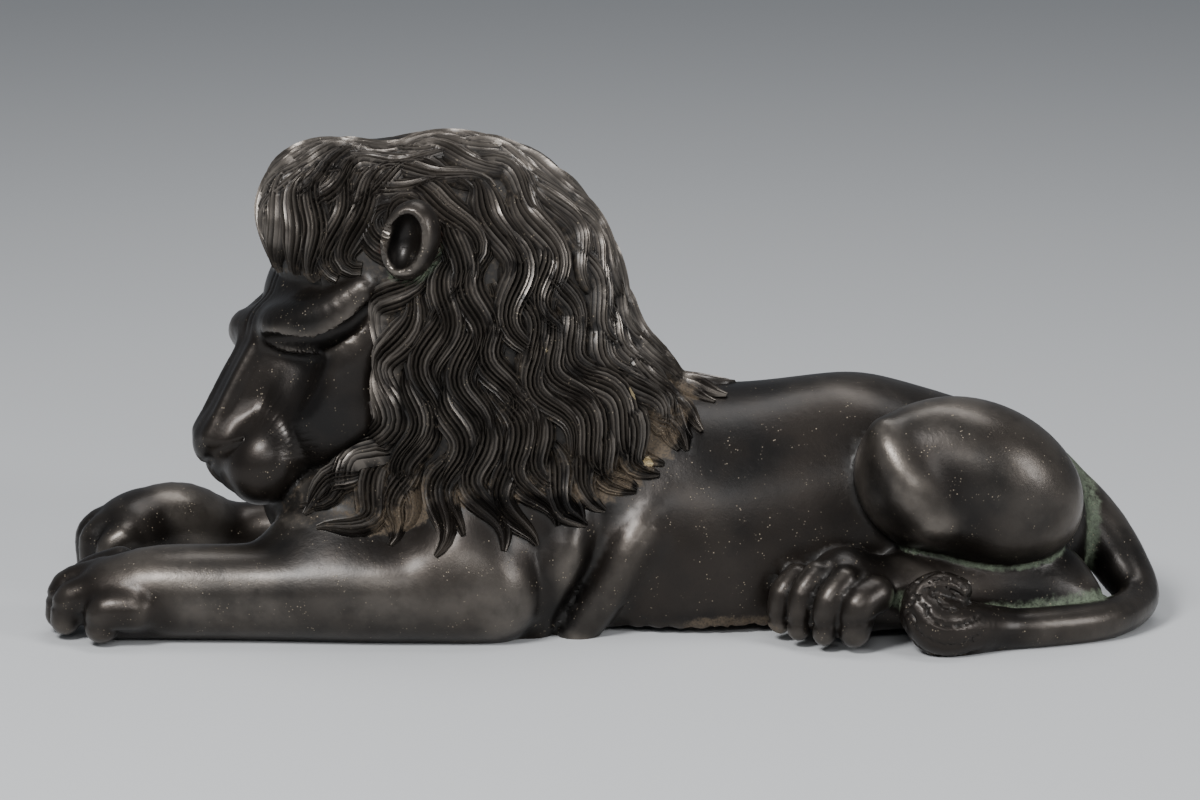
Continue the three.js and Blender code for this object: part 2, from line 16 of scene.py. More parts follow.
import bpy
import numpy as np
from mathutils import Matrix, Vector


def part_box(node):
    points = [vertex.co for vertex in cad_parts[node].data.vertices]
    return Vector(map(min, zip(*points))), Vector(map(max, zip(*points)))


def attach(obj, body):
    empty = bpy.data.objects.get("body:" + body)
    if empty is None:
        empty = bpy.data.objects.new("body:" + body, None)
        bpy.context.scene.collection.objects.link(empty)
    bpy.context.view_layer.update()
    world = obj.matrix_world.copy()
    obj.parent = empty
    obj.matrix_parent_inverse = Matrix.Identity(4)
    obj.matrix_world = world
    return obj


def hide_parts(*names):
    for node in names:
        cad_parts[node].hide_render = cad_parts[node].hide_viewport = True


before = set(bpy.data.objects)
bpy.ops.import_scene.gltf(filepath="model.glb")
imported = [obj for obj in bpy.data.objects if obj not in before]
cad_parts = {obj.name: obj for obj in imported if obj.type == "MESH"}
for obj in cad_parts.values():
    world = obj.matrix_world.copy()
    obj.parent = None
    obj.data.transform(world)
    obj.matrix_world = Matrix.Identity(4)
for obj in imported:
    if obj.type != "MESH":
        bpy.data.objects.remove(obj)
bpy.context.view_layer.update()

import openvdb
from mathutils import Vector

log = logging.getLogger("lion")

Points = np.ndarray  # n rows of x, y, z in millimetres
Values = np.ndarray  # n numbers
Triple = tuple[float, float, float]

MM = 0.001


# Small sums


def smooth_step(low: float, high: float, v: Values) -> Values:
    """Goes smoothly from 0 at low to 1 at high, or the other way round where low is the higher.

    Args:
        low: Where it is 0.
        high: Where it is 1.
        v: The numbers to grade.

    Returns:
        The grades, from 0 to 1.
    """
    t = np.clip((v - low) / (high - low), 0.0, 1.0)
    return t * t * (3.0 - 2.0 * t)


def lengths(v: Points) -> Values:
    """Returns the length of each row."""
    return np.sqrt(np.einsum("ij,ij->i", v, v))


def unit(v: Points) -> Points:
    """Returns each row with a length of 1."""
    return v / np.maximum(lengths(v), 1e-9)[:, None]


def dots(a: Points, b: Points) -> Values:
    """Returns the dot product of each row of a with the row of b."""
    return np.einsum("ij,ij->i", a, b)


def chance(n: Values) -> Values:
    """Returns a repeatable fraction from 0 to 1 for each number."""
    v = np.sin(np.asarray(n, float) * 127.1 + 311.7) * 43758.5453
    return v - np.floor(v)


def soft_min(a: Values, b: Values, k: float) -> Values:
    """Returns the lesser of two distances, rounded where they meet over a width k."""
    h = np.maximum(k - np.abs(a - b), 0.0) / k
    return np.minimum(a, b) - h * h * k * 0.25


def turned(degrees: Triple) -> np.ndarray:
    """Works out a turn about X, then Y, then Z of the turned axes.

    Args:
        degrees: The three angles.

    Returns:
        A 3 by 3 matrix whose columns are the turned axes.
    """
    (cx, cy, cz), (sx, sy, sz) = np.cos(np.radians(degrees)), np.sin(np.radians(degrees))
    about_x = np.array([[1, 0, 0], [0, cx, -sx], [0, sx, cx]])
    about_y = np.array([[cy, 0, sy], [0, 1, 0], [-sy, 0, cy]])
    about_z = np.array([[cz, -sz, 0], [sz, cz, 0], [0, 0, 1]])
    return about_x @ about_y @ about_z


# Forms


class Form:
    """A shape given by the distance to its surface, which is negative inside."""

    def at(self, p: Points) -> Values:
        """Returns the distance of each point to the surface."""
        raise NotImplementedError

    def outward(self, p: Points, reach: float = 0.4) -> Points:
        """Works out which way is out of the surface.

        Args:
            p: Points near the surface.
            reach: How far to either side the distance is read.

        Returns:
            Unit vectors.
        """
        steps = np.eye(3) * reach
        return unit(np.stack([self.at(p + s) - self.at(p - s) for s in steps], axis=1))

    def settled(self, p: Points, most: float = 1.5, rounds: int = 2) -> Points:
        """Moves points onto the surface.

        Args:
            p: Points near the surface.
            most: How far a point may move in one round.
            rounds: How often they are moved.

        Returns:
            The moved points.
        """
        for _ in range(rounds):
            p = p - self.outward(p) * np.clip(self.at(p), -most, most)[:, None]
        return p


@dataclass
class Mass(Form):
    """An egg-shaped mass, with its radii and how it is turned, in degrees."""

    center: Triple
    radii: Triple
    turn: Triple = (0.0, 0.0, 0.0)

    def at(self, p: Points) -> Values:
        """Works out how far points are from the surface.

        Args:
            p: Any points.

        Returns:
            The distance of each, negative inside.
        """
        radii = np.array(self.radii)
        local = (p - np.array(self.center)) @ turned(self.turn) / radii
        near = lengths(local)
        slope = lengths(local / radii)
        return np.where(slope < 1e-9, -radii.min(), near * (near - 1) / np.maximum(slope, 1e-9))


def smooth_path(points: Sequence[Sequence[float]], steps: int) -> np.ndarray:
    """Draws a smooth path through points.

    Args:
        points: The points, of any number of coordinates.
        steps: How many steps it takes between each two.

    Returns:
        The points of the path.
    """
    nodes = np.asarray(points, float)
    last = len(nodes) - 1
    path = []
    for i in range(last):
        a, b, c, d = (nodes[min(max(k, 0), last)] for k in (i - 1, i, i + 1, i + 2))
        for t in np.arange(steps) / steps:
            bend = 2 * a - 5 * b + 4 * c - d
            twist = 3 * (b - c) + d - a
            path.append(b + 0.5 * t * (c - a + t * (bend + t * twist)))
    return np.array(path + [nodes[last]])


@dataclass
class Limb(Form):
    """A round limb along points of x, y, z and radius."""

    points: Sequence[Sequence[float]]
    steps: int = 4
    FAR = 26.0  # past this, the distance to a ball around the limb is near enough

    def __post_init__(self) -> None:
        """Draws the path once."""
        self.path = np.asarray(self.points, float)
        if self.steps > 1:
            self.path = smooth_path(self.points, self.steps)
        self.middle = self.path[:, :3].mean(axis=0)
        self.reach = float((lengths(self.path[:, :3] - self.middle) + self.path[:, 3]).max())

    def at(self, p: Points) -> Values:
        """Works out how far points are from the surface.

        Args:
            p: Any points.

        Returns:
            The distance of each, negative inside.
        """
        away = lengths(p - self.middle) - self.reach
        close = away <= self.FAR
        q = p[close]
        best = np.full(len(q), np.inf)
        for a, b in zip(self.path[:-1], self.path[1:]):
            along = (b - a)[:3]
            from_a = q - a[:3]
            t = np.clip(from_a @ along / (along @ along + 1e-9), 0.0, 1.0)
            radius = a[3] + (b[3] - a[3]) * t
            best = np.minimum(best, lengths(from_a - t[:, None] * along) - radius)
        away[close] = best
        return away


class Blend(Form):
    """Masses that flow into one another over a width k."""

    def __init__(self, k: float, *forms: Form) -> None:
        """Keeps the width and the forms."""
        self.k = k
        self.forms = forms

    def at(self, p: Points) -> Values:
        """Works out how far points are from the surface.

        Args:
            p: Any points.

        Returns:
            The distance of each, negative inside.
        """
        distance = self.forms[0].at(p)
        for form in self.forms[1:]:
            distance = soft_min(distance, form.at(p), self.k)
        return distance


class Hollowed(Form):
    """A form with others hollowed out of it, with an edge rounded over a width k."""

    def __init__(self, k: float, form: Form, *tools: Form) -> None:
        """Keeps what it is made from.

        Args:
            k: The width over which the edge is rounded.
            form: The form.
            *tools: What is hollowed out of it.
        """
        self.k = k
        self.form = form
        self.tools = tools

    def at(self, p: Points) -> Values:
        """Works out how far points are from the surface.

        Args:
            p: Any points.

        Returns:
            The distance of each, negative inside.
        """
        distance = self.form.at(p)
        for tool in self.tools:
            distance = -soft_min(-distance, tool.at(p), self.k)
        return distance


@dataclass
class Changed(Form):
    """A form read at changed points: mirrored, moved, or on axes of its own."""

    form: Form
    change: Callable[[Points], Points]

    def at(self, p: Points) -> Values:
        """Returns the distance of each point to the surface."""
        return self.form.at(self.change(p))


@dataclass
class Ruled(Form):
    """A form given by a rule on the points."""

    rule: Callable[[Points], Values]

    def at(self, p: Points) -> Values:
        """Returns the distance of each point to the surface."""
        return self.rule(p)


def other_side(form: Form) -> Form:
    """Returns the same form on the lion's other side."""
    return Changed(form, lambda p: p * np.array([1.0, -1.0, 1.0]))


def moved(form: Form, move: Triple) -> Form:
    """Returns the same form moved."""
    return Changed(form, lambda p: p - np.array(move))


def meeting(p: Points, a: Form, b: Form, width: float) -> Values:
    """Finds where two forms meet.

    Args:
        p: Points on the surface.
        a: One form.
        b: The other form.
        width: How far out of the crease it reaches.

    Returns:
        1 in the crease, and 0 past the width.
    """
    return smooth_step(width, 0.3 * width, a.at(p)) * smooth_step(width, 0.3 * width, b.at(p))


# Parts of the figure. Each gives its form, how fine its skin is, and what is cut into the skin.


@dataclass
class Torso:
    """The chest, ribs, loins and rump, with the folds of skin behind the elbow."""

    flow: float = 16.0
    rim_height: float = 1.6
    rim_bite: float = 1.5
    fold_width: float = 7.0
    ledge_depth: float = 0.8

    def form(self) -> Form:
        """Builds the torso, with its lower edge raised to the belly's rim.

        Returns:
            The torso's form.
        """
        body = Blend(
            self.flow,
            Mass((-30, 0, 36), (56, 41, 42)),
            Mass((30, 0, 22), (62, 42, 53)),
            Mass((80, 1, 30), (52, 33, 48.5)),
            Mass((118, 0, 33), (37, 27, 33.5)),
            Mass((146, 0, 25), (15.5, 22, 24)),
        )
        rimmed = Ruled(lambda p: -soft_min(-body.at(p), -(self.rim(p) - p[:, 2]), 1.2))
        return Blend(5, rimmed, self.folds())

    def rim(self, p: Points) -> Values:
        """Works out how far the belly's rim is off the ground, and how ragged it is.

        Args:
            p: Points on the body.

        Returns:
            Heights in millimetres.
        """
        x = p[:, 0]
        lifted = smooth_step(-24, -10, x) * (1 - smooth_step(56, 70, x))
        ragged = np.abs(np.sin(0.61 * x) + 0.6 * np.sin(1.37 * x + 2) + 0.4 * np.sin(2.9 * x))
        return lifted * (self.rim_height + self.rim_bite * 0.5 * ragged * smooth_step(30, 40, x))

    def folds(self) -> Form:
        """Returns the folds of skin behind the elbow."""
        w = self.fold_width
        return Blend(
            2.5,
            Limb(
                [
                    (-8, -30, 46, w),
                    (-13, -39, 30, 1.36 * w),
                    (-19, -39, 16, 1.29 * w),
                    (-24, -36, 2, 1.14 * w),
                ]
            ),
            Limb([(20, -30, 44, 0.71 * w), (10, -38, 30, w), (2, -39, 16, w), (-8, -38, 2, w)]),
        )

    def fineness(self, p: Points) -> Values:
        """Returns the length of edge wanted at each point: fine along the belly's rim."""
        at_rim = (p[:, 2] < 9) & (p[:, 0] > -12) & (p[:, 0] < 60) & (p[:, 1] < -20)
        return np.where(at_rim, 1.5, np.inf)

    def cut(self, p: Points) -> Values:
        """Works out how deep the skin is cut: a broken ledge over the belly's rim.

        Args:
            p: Points on the skin.

        Returns:
            Depths in millimetres.
        """
        x, y, z = p.T
        stretch = smooth_step(2, 10, x) * (1 - smooth_step(52, 60, x)) * (y < -20)
        ledge = 5.4 + 0.9 * np.sin(0.55 * x + 1) + 0.5 * np.sin(1.7 * x)
        broken = 0.6 + 0.4 * np.sin(0.9 * x + 0.5 * z)
        return self.ledge_depth * stretch * smooth_step(ledge + 0.7, ledge - 0.5, z) * broken


@dataclass
class HindLegs:
    """The folded hind legs: the thigh over the shank, the foot flat, and the paw at its end."""

    far_hip_drop: float = 18.0
    far_hip_inset: float = 4.0
    toe_width: float = 4.6

    def thigh(self) -> Form:
        """Returns the near thigh, with the ridge that runs down from the knee."""
        return Blend(
            7,
            Mass((121, -34, 49.5), (36, 21, 26.5), (0, 24, 0)),
            Mass((100, -35, 50), (18, 16, 22), (0, -26, 0)),
            Limb([(90, -40, 67.5, 3), (93, -46, 61, 4), (99, -50, 51, 6), (107, -48, 42, 8)]),
        )

    def foot(self) -> Form:
        """Returns the near foot, with its hock behind."""
        sole = [
            (154, -34, 11, 8.5),
            (144, -34, 12, 11),
            (124, -35, 13, 12),
            (104, -38, 15, 12.5),
            (88, -43, 15, 12),
        ]
        return Blend(6, Limb(sole), Mass((126, -29, 20), (32, 13, 15), (0, 6, 0)))

    def paw(self) -> Form:
        """Returns the near hind paw and its four toes."""
        r = self.toe_width
        return Blend(
            2.2,
            Mass((79, -44, 16), (14, 14, 14.5)),
            toes(
                0.8,
                [
                    ((63, -42, 20), (57, -46, 6), r),
                    ((69, -50, 23), (63, -54, 6), r),
                    ((77.5, -55.5, 22), (71, -60, 6), 1.04 * r),
                    ((87, -57, 18), (80.5, -61, 7), 1.39 * r),
                ],
            ),
        )

    def trunk(self, torso: Form) -> Form:
        """Joins the thighs and feet to the torso.

        Args:
            torso: The torso's form.

        Returns:
            The form of the trunk.
        """
        far_thigh = moved(other_side(self.thigh()), (0, -self.far_hip_inset, -self.far_hip_drop))
        return Blend(2.5, torso, self.thigh(), far_thigh, self.foot(), other_side(self.foot()))

    def fineness(self, p: Points) -> Values:
        """Works out how fine the skin is: fine on the toes, finest on the near ones.

        Args:
            p: Points on the skin.

        Returns:
            The length of edge wanted at each, in millimetres.
        """
        near_toes = self.paw().at(p) < 2
        far_toes = other_side(self.paw()).at(p) < 2
        return np.where(near_toes, 1.15, np.where(far_toes, 2.2, np.inf))

    def cut(self, p: Points) -> Values:
        """Works out how deep the skin is cut: a line round each near claw.

        Args:
            p: Points on the skin.

        Returns:
            Depths in millimetres.
        """
        x, y, z = p.T
        on_toe = (self.paw().at(p) < 1.5) & (y < -44)
        return np.where(on_toe, 0.55 * np.exp(-(((z - 9.5 - 0.12 * (x - 70)) / 0.8) ** 2)), 0.0)


def toes(k: float, rows: Iterable[tuple[Triple, Triple, float]]) -> Form:
    """Builds toes that arch from their knuckles to the ground.

    Args:
        k: The width over which they flow into one another.
        rows: Each toe's knuckle, tip and width.

    Returns:
        The toes' form.
    """
    limbs = []
    for knuckle, tip, r in rows:
        start, end = np.array(knuckle, float), np.array(tip, float)
        reach = (end - start) * 0.28
        bend = (start + end) / 2 + np.array([reach[0], reach[1], 2.2])
        limbs.append(Limb([(*start, r), (*bend, 1.02 * r), (*end, 0.82 * r)]))
    return Blend(k, *limbs)


@dataclass
class Tail:
    """The tail, down from the rump, round behind the hock and forward to its curled tuft."""

    strands: int = 9
    groove: float = 0.75

    def whip(self) -> Form:
        """Returns the tail without its tuft."""
        return Limb(
            [
                (137, 2, 51, 9),
                (149.5, 1, 41, 9.8),
                (162, -2, 28, 10.2),
                (171, -10, 16, 9),
                (175, -23, 8, 6.8),
                (163, -41, 6, 6.6),
                (142, -51, 5.8, 6.6),
                (126, -55, 6, 6.8),
            ],
            6,
        )

    def bulb(self) -> Limb:
        """Returns the round of the tuft."""
        path = [(127, -55, 6.5, 6.8), (117, -59, 7.5, 8.8), (108, -62, 9, 9.8), (102.5, -61, 14, 7.6)]
        return Limb(path, 6)

    def curl(self) -> Limb:
        """Returns the tuft's end, which curls back over the bulb."""
        path = [(101, -61, 12, 6), (101.5, -60, 18, 5.4), (107.5, -59, 21.5, 4.8), (114, -58.5, 20, 4.2)]
        return Limb(path, 6)

    def tuft(self) -> Form:
        """Returns the tuft."""
        return Blend(1.2, self.bulb(), self.curl())

    def form(self) -> Form:
        """Returns the tail and its tuft."""
        return Blend(2, self.whip(), self.tuft())

    def fineness(self, p: Points) -> Values:
        """Returns the length of edge wanted at each point: fine on the tuft."""
        return np.where(self.tuft().at(p) < 1.5, 0.95, np.inf)

    def cut(self, p: Points) -> Values:
        """Works out how deep the tuft's strands are cut, which wind along it.

        Args:
            p: Points on the skin.

        Returns:
            Depths in millimetres.
        """
        depth = np.zeros(len(p))
        for limb, start in ((self.bulb(), 0.22), (self.curl(), 0.0)):
            near = np.abs(limb.at(p)) < 1.2
            along, round_it = along_and_round(limb.path[:, :3], p[near])
            wave = np.abs(np.sin(0.5 * self.strands * (round_it + 1.3 * np.sin(2.2 * along))))
            shown = smooth_step(start, start + 0.2, along)
            depth[near] = np.maximum(depth[near], shown * self.groove * smooth_step(0.45, 0.0, wave))
        return depth


def along_and_round(path: Points, p: Points) -> tuple[Values, Values]:
    """Finds where points are on a path.

    Args:
        path: The path's points.
        p: Points near the path.

    Returns:
        How far along the path each point is, from 0 to 1, and its angle round the path.
    """
    away = ((p[:, None, :] - path[None, :, :]) ** 2).sum(axis=2)
    nearest = away.argmin(axis=1)
    tangent = unit(np.gradient(path, axis=0))[nearest]
    from_path = p - path[nearest]
    up = np.array([0.0, 0.0, 1.0]) - tangent * tangent[:, 2:3]
    side = np.cross(tangent, up)
    return nearest / (len(path) - 1), np.arctan2(dots(from_path, unit(side)), dots(from_path, unit(up)))


@dataclass
class Forelegs:
    """The forelegs, stretched out on the ground; the right one turns in at the wrist."""

    near_wrist: float = 15.2
    toe_width: float = 6.0

    def near(self) -> Form:
        """Returns the left foreleg and its shoulder."""
        w = self.near_wrist
        return Blend(
            7,
            Mass((-34, -24, 36), (38, 25, 30)),
            Mass((-44, -36, 24), (22, 22, 24)),
            Mass((-84, -32, 24), (28, 18, 20)),
            Limb(
                [
                    (-36, -41, 16, 18),
                    (-70, -42, 16, 17.5),
                    (-112, -41, 15, 1.03 * w),
                    (-142, -41, 15, w),
                    (-157, -41, 13, 0.89 * w),
                ]
            ),
        )

    def near_paw(self) -> Form:
        """Returns the left forepaw's toes."""
        r = self.toe_width
        return toes(
            0.7,
            [
                ((-150, -52.5, 12), (-161, -52.5, 6.5), 1.13 * r),
                ((-160, -44, 16), (-173.5, -44, 6.5), r),
                ((-162, -36, 19), (-176, -36, 6.5), r),
                ((-157, -28.5, 21), (-171.5, -28.5, 6.5), r),
            ],
        )

    def far(self) -> Form:
        """Builds the right foreleg and its shoulder.

        Returns:
            Their form.
        """
        arm = [(-36, 42, 16, 17), (-70, 52, 12.5, 14), (-106, 56, 11.5, 12), (-127, 54, 11, 11.5)]
        hand = [(-143, 46, 17, 14), (-154, 41, 17, 13.5)]
        return Blend(6, Mass((-34, 26, 34), (36, 22, 30)), Limb(arm + hand))

    def far_paw(self) -> Form:
        """Returns the right forepaw."""
        r = 0.9 * self.toe_width
        return Blend(
            2,
            Mass((-159, 38, 15), (14, 16, 14)),
            toes(
                1,
                [
                    ((-161, 25, 17), (-166, 24, 6), r),
                    ((-168, 32, 18.5), (-172, 31, 6), r),
                    ((-170, 39, 18.5), (-174, 39, 6), r),
                    ((-166, 47, 16.5), (-170, 48, 6), r),
                ],
            ),
        )

    def fineness(self, p: Points) -> Values:
        """Works out how fine the skin is: fine on both paws.

        Args:
            p: Points on the skin.

        Returns:
            The length of edge wanted at each, in millimetres.
        """
        near_toes = (self.near_paw().at(p) < 2) & (p[:, 0] < -140)
        far_toes = self.far_paw().at(p) < 2
        return np.where(near_toes, 1.25, np.where(far_toes, 1.7, np.inf))

    def cut(self, p: Points) -> Values:
        """Works out how deep the skin is cut: a line over each near toe's claw.

        Args:
            p: Points on the skin.

        Returns:
            Depths in millimetres.
        """
        x, _, z = p.T
        on_toe = (self.near_paw().at(p) < 1.2) & (x < -155)
        front = 2 * np.abs(z - 10 + 0.3 * (x + 172))
        return np.where(on_toe, 0.45 * np.exp(-((front / 1.6) ** 2)), 0.0)


@dataclass
class Head:
    """The bowed head, turned a little to the lion's left, and the ears.

    Its own axes run forward along the nose, to the lion's left, and up out of the nose's bridge.
    """

    root_of_nose: Triple = (-117.0, -13.0, 92.0)
    bowed: float = 60.0
    turned_left: float = 20.0
    ear_at: Triple = (-61.0, -44.5, 131.0)
    hair_starts: float = 33.0
    whiskers: int = 9
    whisker_root: tuple[float, float] = (32.0, -10.0)
    whisker_depth: float = 0.11
    whisker_fan_width: float = 1.12
    line_width: float = 0.55
    line_depth: float = 0.45

    def axes(self) -> np.ndarray:
        """Works out the head's three axes.

        Returns:
            The axes as rows.
        """
        down, left = math.radians(self.bowed), math.radians(self.turned_left)
        level = np.array([-math.cos(left), -math.sin(left), 0.0])
        forward = np.array([0.0, 0.0, -math.sin(down)]) + level * math.cos(down)
        side = np.array([math.sin(left), -math.cos(left), 0.0])
        up = np.array([0.0, 0.0, math.cos(down)]) + level * math.sin(down)
        return np.stack([forward, side, up])

    def local(self, p: Points) -> Points:
        """Returns points in the head's own axes."""
        return (p - np.array(self.root_of_nose)) @ self.axes().T

    def form(self) -> Form:
        """Puts the head together without its ears: two like sides, the brow, and the eye's furrow.

        Returns:
            The form of the head.
        """
        side = self.side_of_face()
        both = Changed(side, lambda p: np.stack([p[:, 0], np.abs(p[:, 1]), p[:, 2]], axis=1))
        browed = Blend(5, both, self.brow())
        return Changed(Hollowed(1.2, browed, self.furrow()), self.local)

    def brow(self) -> Form:
        """Builds the brow, which hangs lower on the far side.

        Returns:
            Its form, in the head's axes.
        """
        far = [
            (-20, -36.5, -18, 5),
            (-8, -29, -13, 7),
            (-4, -21, -8.5, 7.5),
            (-4.5, -13, -5, 7),
            (-8, -3, -4, 5.6),
        ]
        near = [
            (-10.5, 6, -4, 5.6),
            (-11.2, 14, -5, 7.8),
            (-15, 22, -8.8, 9.2),
            (-22, 29, -13.2, 8.6),
            (-33, 34.5, -16, 6),
        ]
        return Limb(far + near)

    def furrow(self) -> Form:
        """Returns the furrow that the near eye is lost in, under the brow, in the head's axes."""
        path = [
            (-1, 9, 1, 1.8),
            (-5.5, 20, -5, 4.2),
            (-12, 28.5, -12, 4.0),
            (-21, 35.5, -17, 3.0),
            (-30, 39.5, -19, 1.6),
        ]
        return Limb(path)

    def side_of_face(self) -> Form:
        """Builds one side of the face in the head's axes.

        Returns:
            The form of the skull, bridge, muzzle and cheek, with the cheek's hollow and the nostril cut in.
        """
        skull = Hollowed(3, Mass((-27, 0, -23), (28, 33, 24)), Ruled(lambda p: p[:, 0] + self.hair_starts))
        bridge = Limb([(-12, 0, -10, 9.5), (8, 0, -9.5, 9), (32.5, 0, -9.5, 8.5)])
        edge = Limb([(-6, 4.6, -3.6, 3), (12, 5.2, -2.8, 2.6), (32, 5.6, -3.6, 2.8)])
        muzzle = Blend(
            4,
            Mass((2, 0, -27), (28, 21, 19)),
            Blend(2, bridge, edge),
            Mass((31.5, 0, -10), (9, 10, 9)),
            Mass((27, 0, -22), (18.5, 17, 17)),
        )
        cheek = Blend(
            7,
            Mass((-4, 23.5, -36), (26, 13, 20), (-16, 0, 0)),
            Limb([(-4, 26, -23, 7.5), (-13, 30, -24.5, 8.2), (-25, 33, -28, 7.5)]),
            Limb([(30, 6, -28, 10), (16, 14, -30, 12.5), (2, 24, -35, 13)]),
        )
        hollow = Mass((-0.5, 26, -9.5), (12.5, 8, 8), (30, 0, 10))
        pad = Mass((31, 13.5, -21.5), (14.5, 12.5, 12.5))
        crease = Limb([(38.5, 8, -4.5, 1.3), (33, 12, -8, 1.6), (28, 16, -11, 0.9)])
        nostril = Limb([(42.5, 0, -9, 1.5), (40.5, 5.5, -7, 1.6), (38.5, 9, -6, 1.1)])
        base = Hollowed(9, Blend(8, Blend(4, skull, muzzle), cheek), hollow)
        return Hollowed(1.6, Blend(4, base, pad), crease, nostril)

    def ear(self) -> Form:
        """Builds the left ear, cupped forward and out.

        Returns:
            Its form.
        """
        x, y, z = self.ear_at
        lean = (0, 15, 0)
        shell = Mass((x, y, z), (9.4, 8, 13.2), lean)
        return Hollowed(1.6, shell, Mass((x - 2.4, y - 6.5, z), (5.8, 9.5, 9.6), lean))

    def fineness(self, p: Points) -> Values:
        """Returns the length of edge wanted at each point: fine on the face and the near ear.

        Args:
            p: Points on the skin.

        Returns:
            Lengths in millimetres.
        """
        f, s, u = self.local(p).T
        on_face = (self.form().at(p) < 1.5) & (f > -26)
        on_pad = on_face & (s > 4) & (f > -2) & (u > -42)
        angle, reach = self.whisker_fan(f, u)
        in_fan = on_pad & (reach > 9) & (reach < 24) & (angle > -0.05) & (angle < 1.15) & (s > 8)
        brow_lines = on_face & (np.abs(s - 1) < 5) & (f > -30) & (f < 0)
        on_ear = self.ear().at(p) < 1.5
        wanted = np.where(on_face, np.where(s > -12, 1.25, 2.2), np.where(on_ear, 1.0, np.inf))
        wanted = np.where(on_pad, 0.95, wanted)
        return np.where(in_fan, 0.46, np.where(brow_lines, 0.7, wanted))

    def cut(self, p: Points) -> Values:
        """Works out how deep the whisker lines and the brow's lines are cut.

        Args:
            p: Points on the skin.

        Returns:
            Depths in millimetres.
        """
        f, s, u = self.local(p).T
        angle, reach = self.whisker_fan(f, u)
        shown = smooth_step(9, 12, reach) * (1 - smooth_step(20, 25, reach)) * (np.abs(s) > 6)
        shown *= smooth_step(-0.05, 0.05, angle) * (1 - smooth_step(1.08, 1.18, angle))
        line = np.abs(np.sin(self.whiskers * math.pi * angle / self.whisker_fan_width))
        on_face = self.form().at(p) < 1.5
        whisker = self.whisker_depth * shown * smooth_step(0.6, 0.0, line) * on_face
        middle = smooth_step(-29, -25, f) * (1 - smooth_step(-6, -1, f)) * (u > -9) * on_face
        left = np.exp(-(((s + 1) / self.line_width) ** 2))
        right = np.exp(-(((s - 2.6) / self.line_width) ** 2))
        lines = self.line_depth * middle * (left + 0.7 * right)
        return whisker + lines

    def whisker_fan(self, f: Values, u: Values) -> tuple[Values, Values]:
        """Finds where points are in the fan of the whisker lines.

        Args:
            f: How far forward each point is.
            u: How far up each point is.

        Returns:
            Each point's angle in the fan, and its distance from the fan's root.
        """
        back, down = self.whisker_root[0] - f, self.whisker_root[1] - u
        reach = np.hypot(back, down)
        return np.arctan2(down, back) + 0.008 * (reach - 16), reach


class Side(Enum):
    """Which locks: those that the photograph shows, and the plainer ones on the far side."""

    NEAR = "near"
    FAR = "far"


@dataclass
class LockCut:
    """How the locks of one side are cut, in millimetres."""

    strands: int
    columns: int
    width: float
    height: float
    groove: float
    stride: float


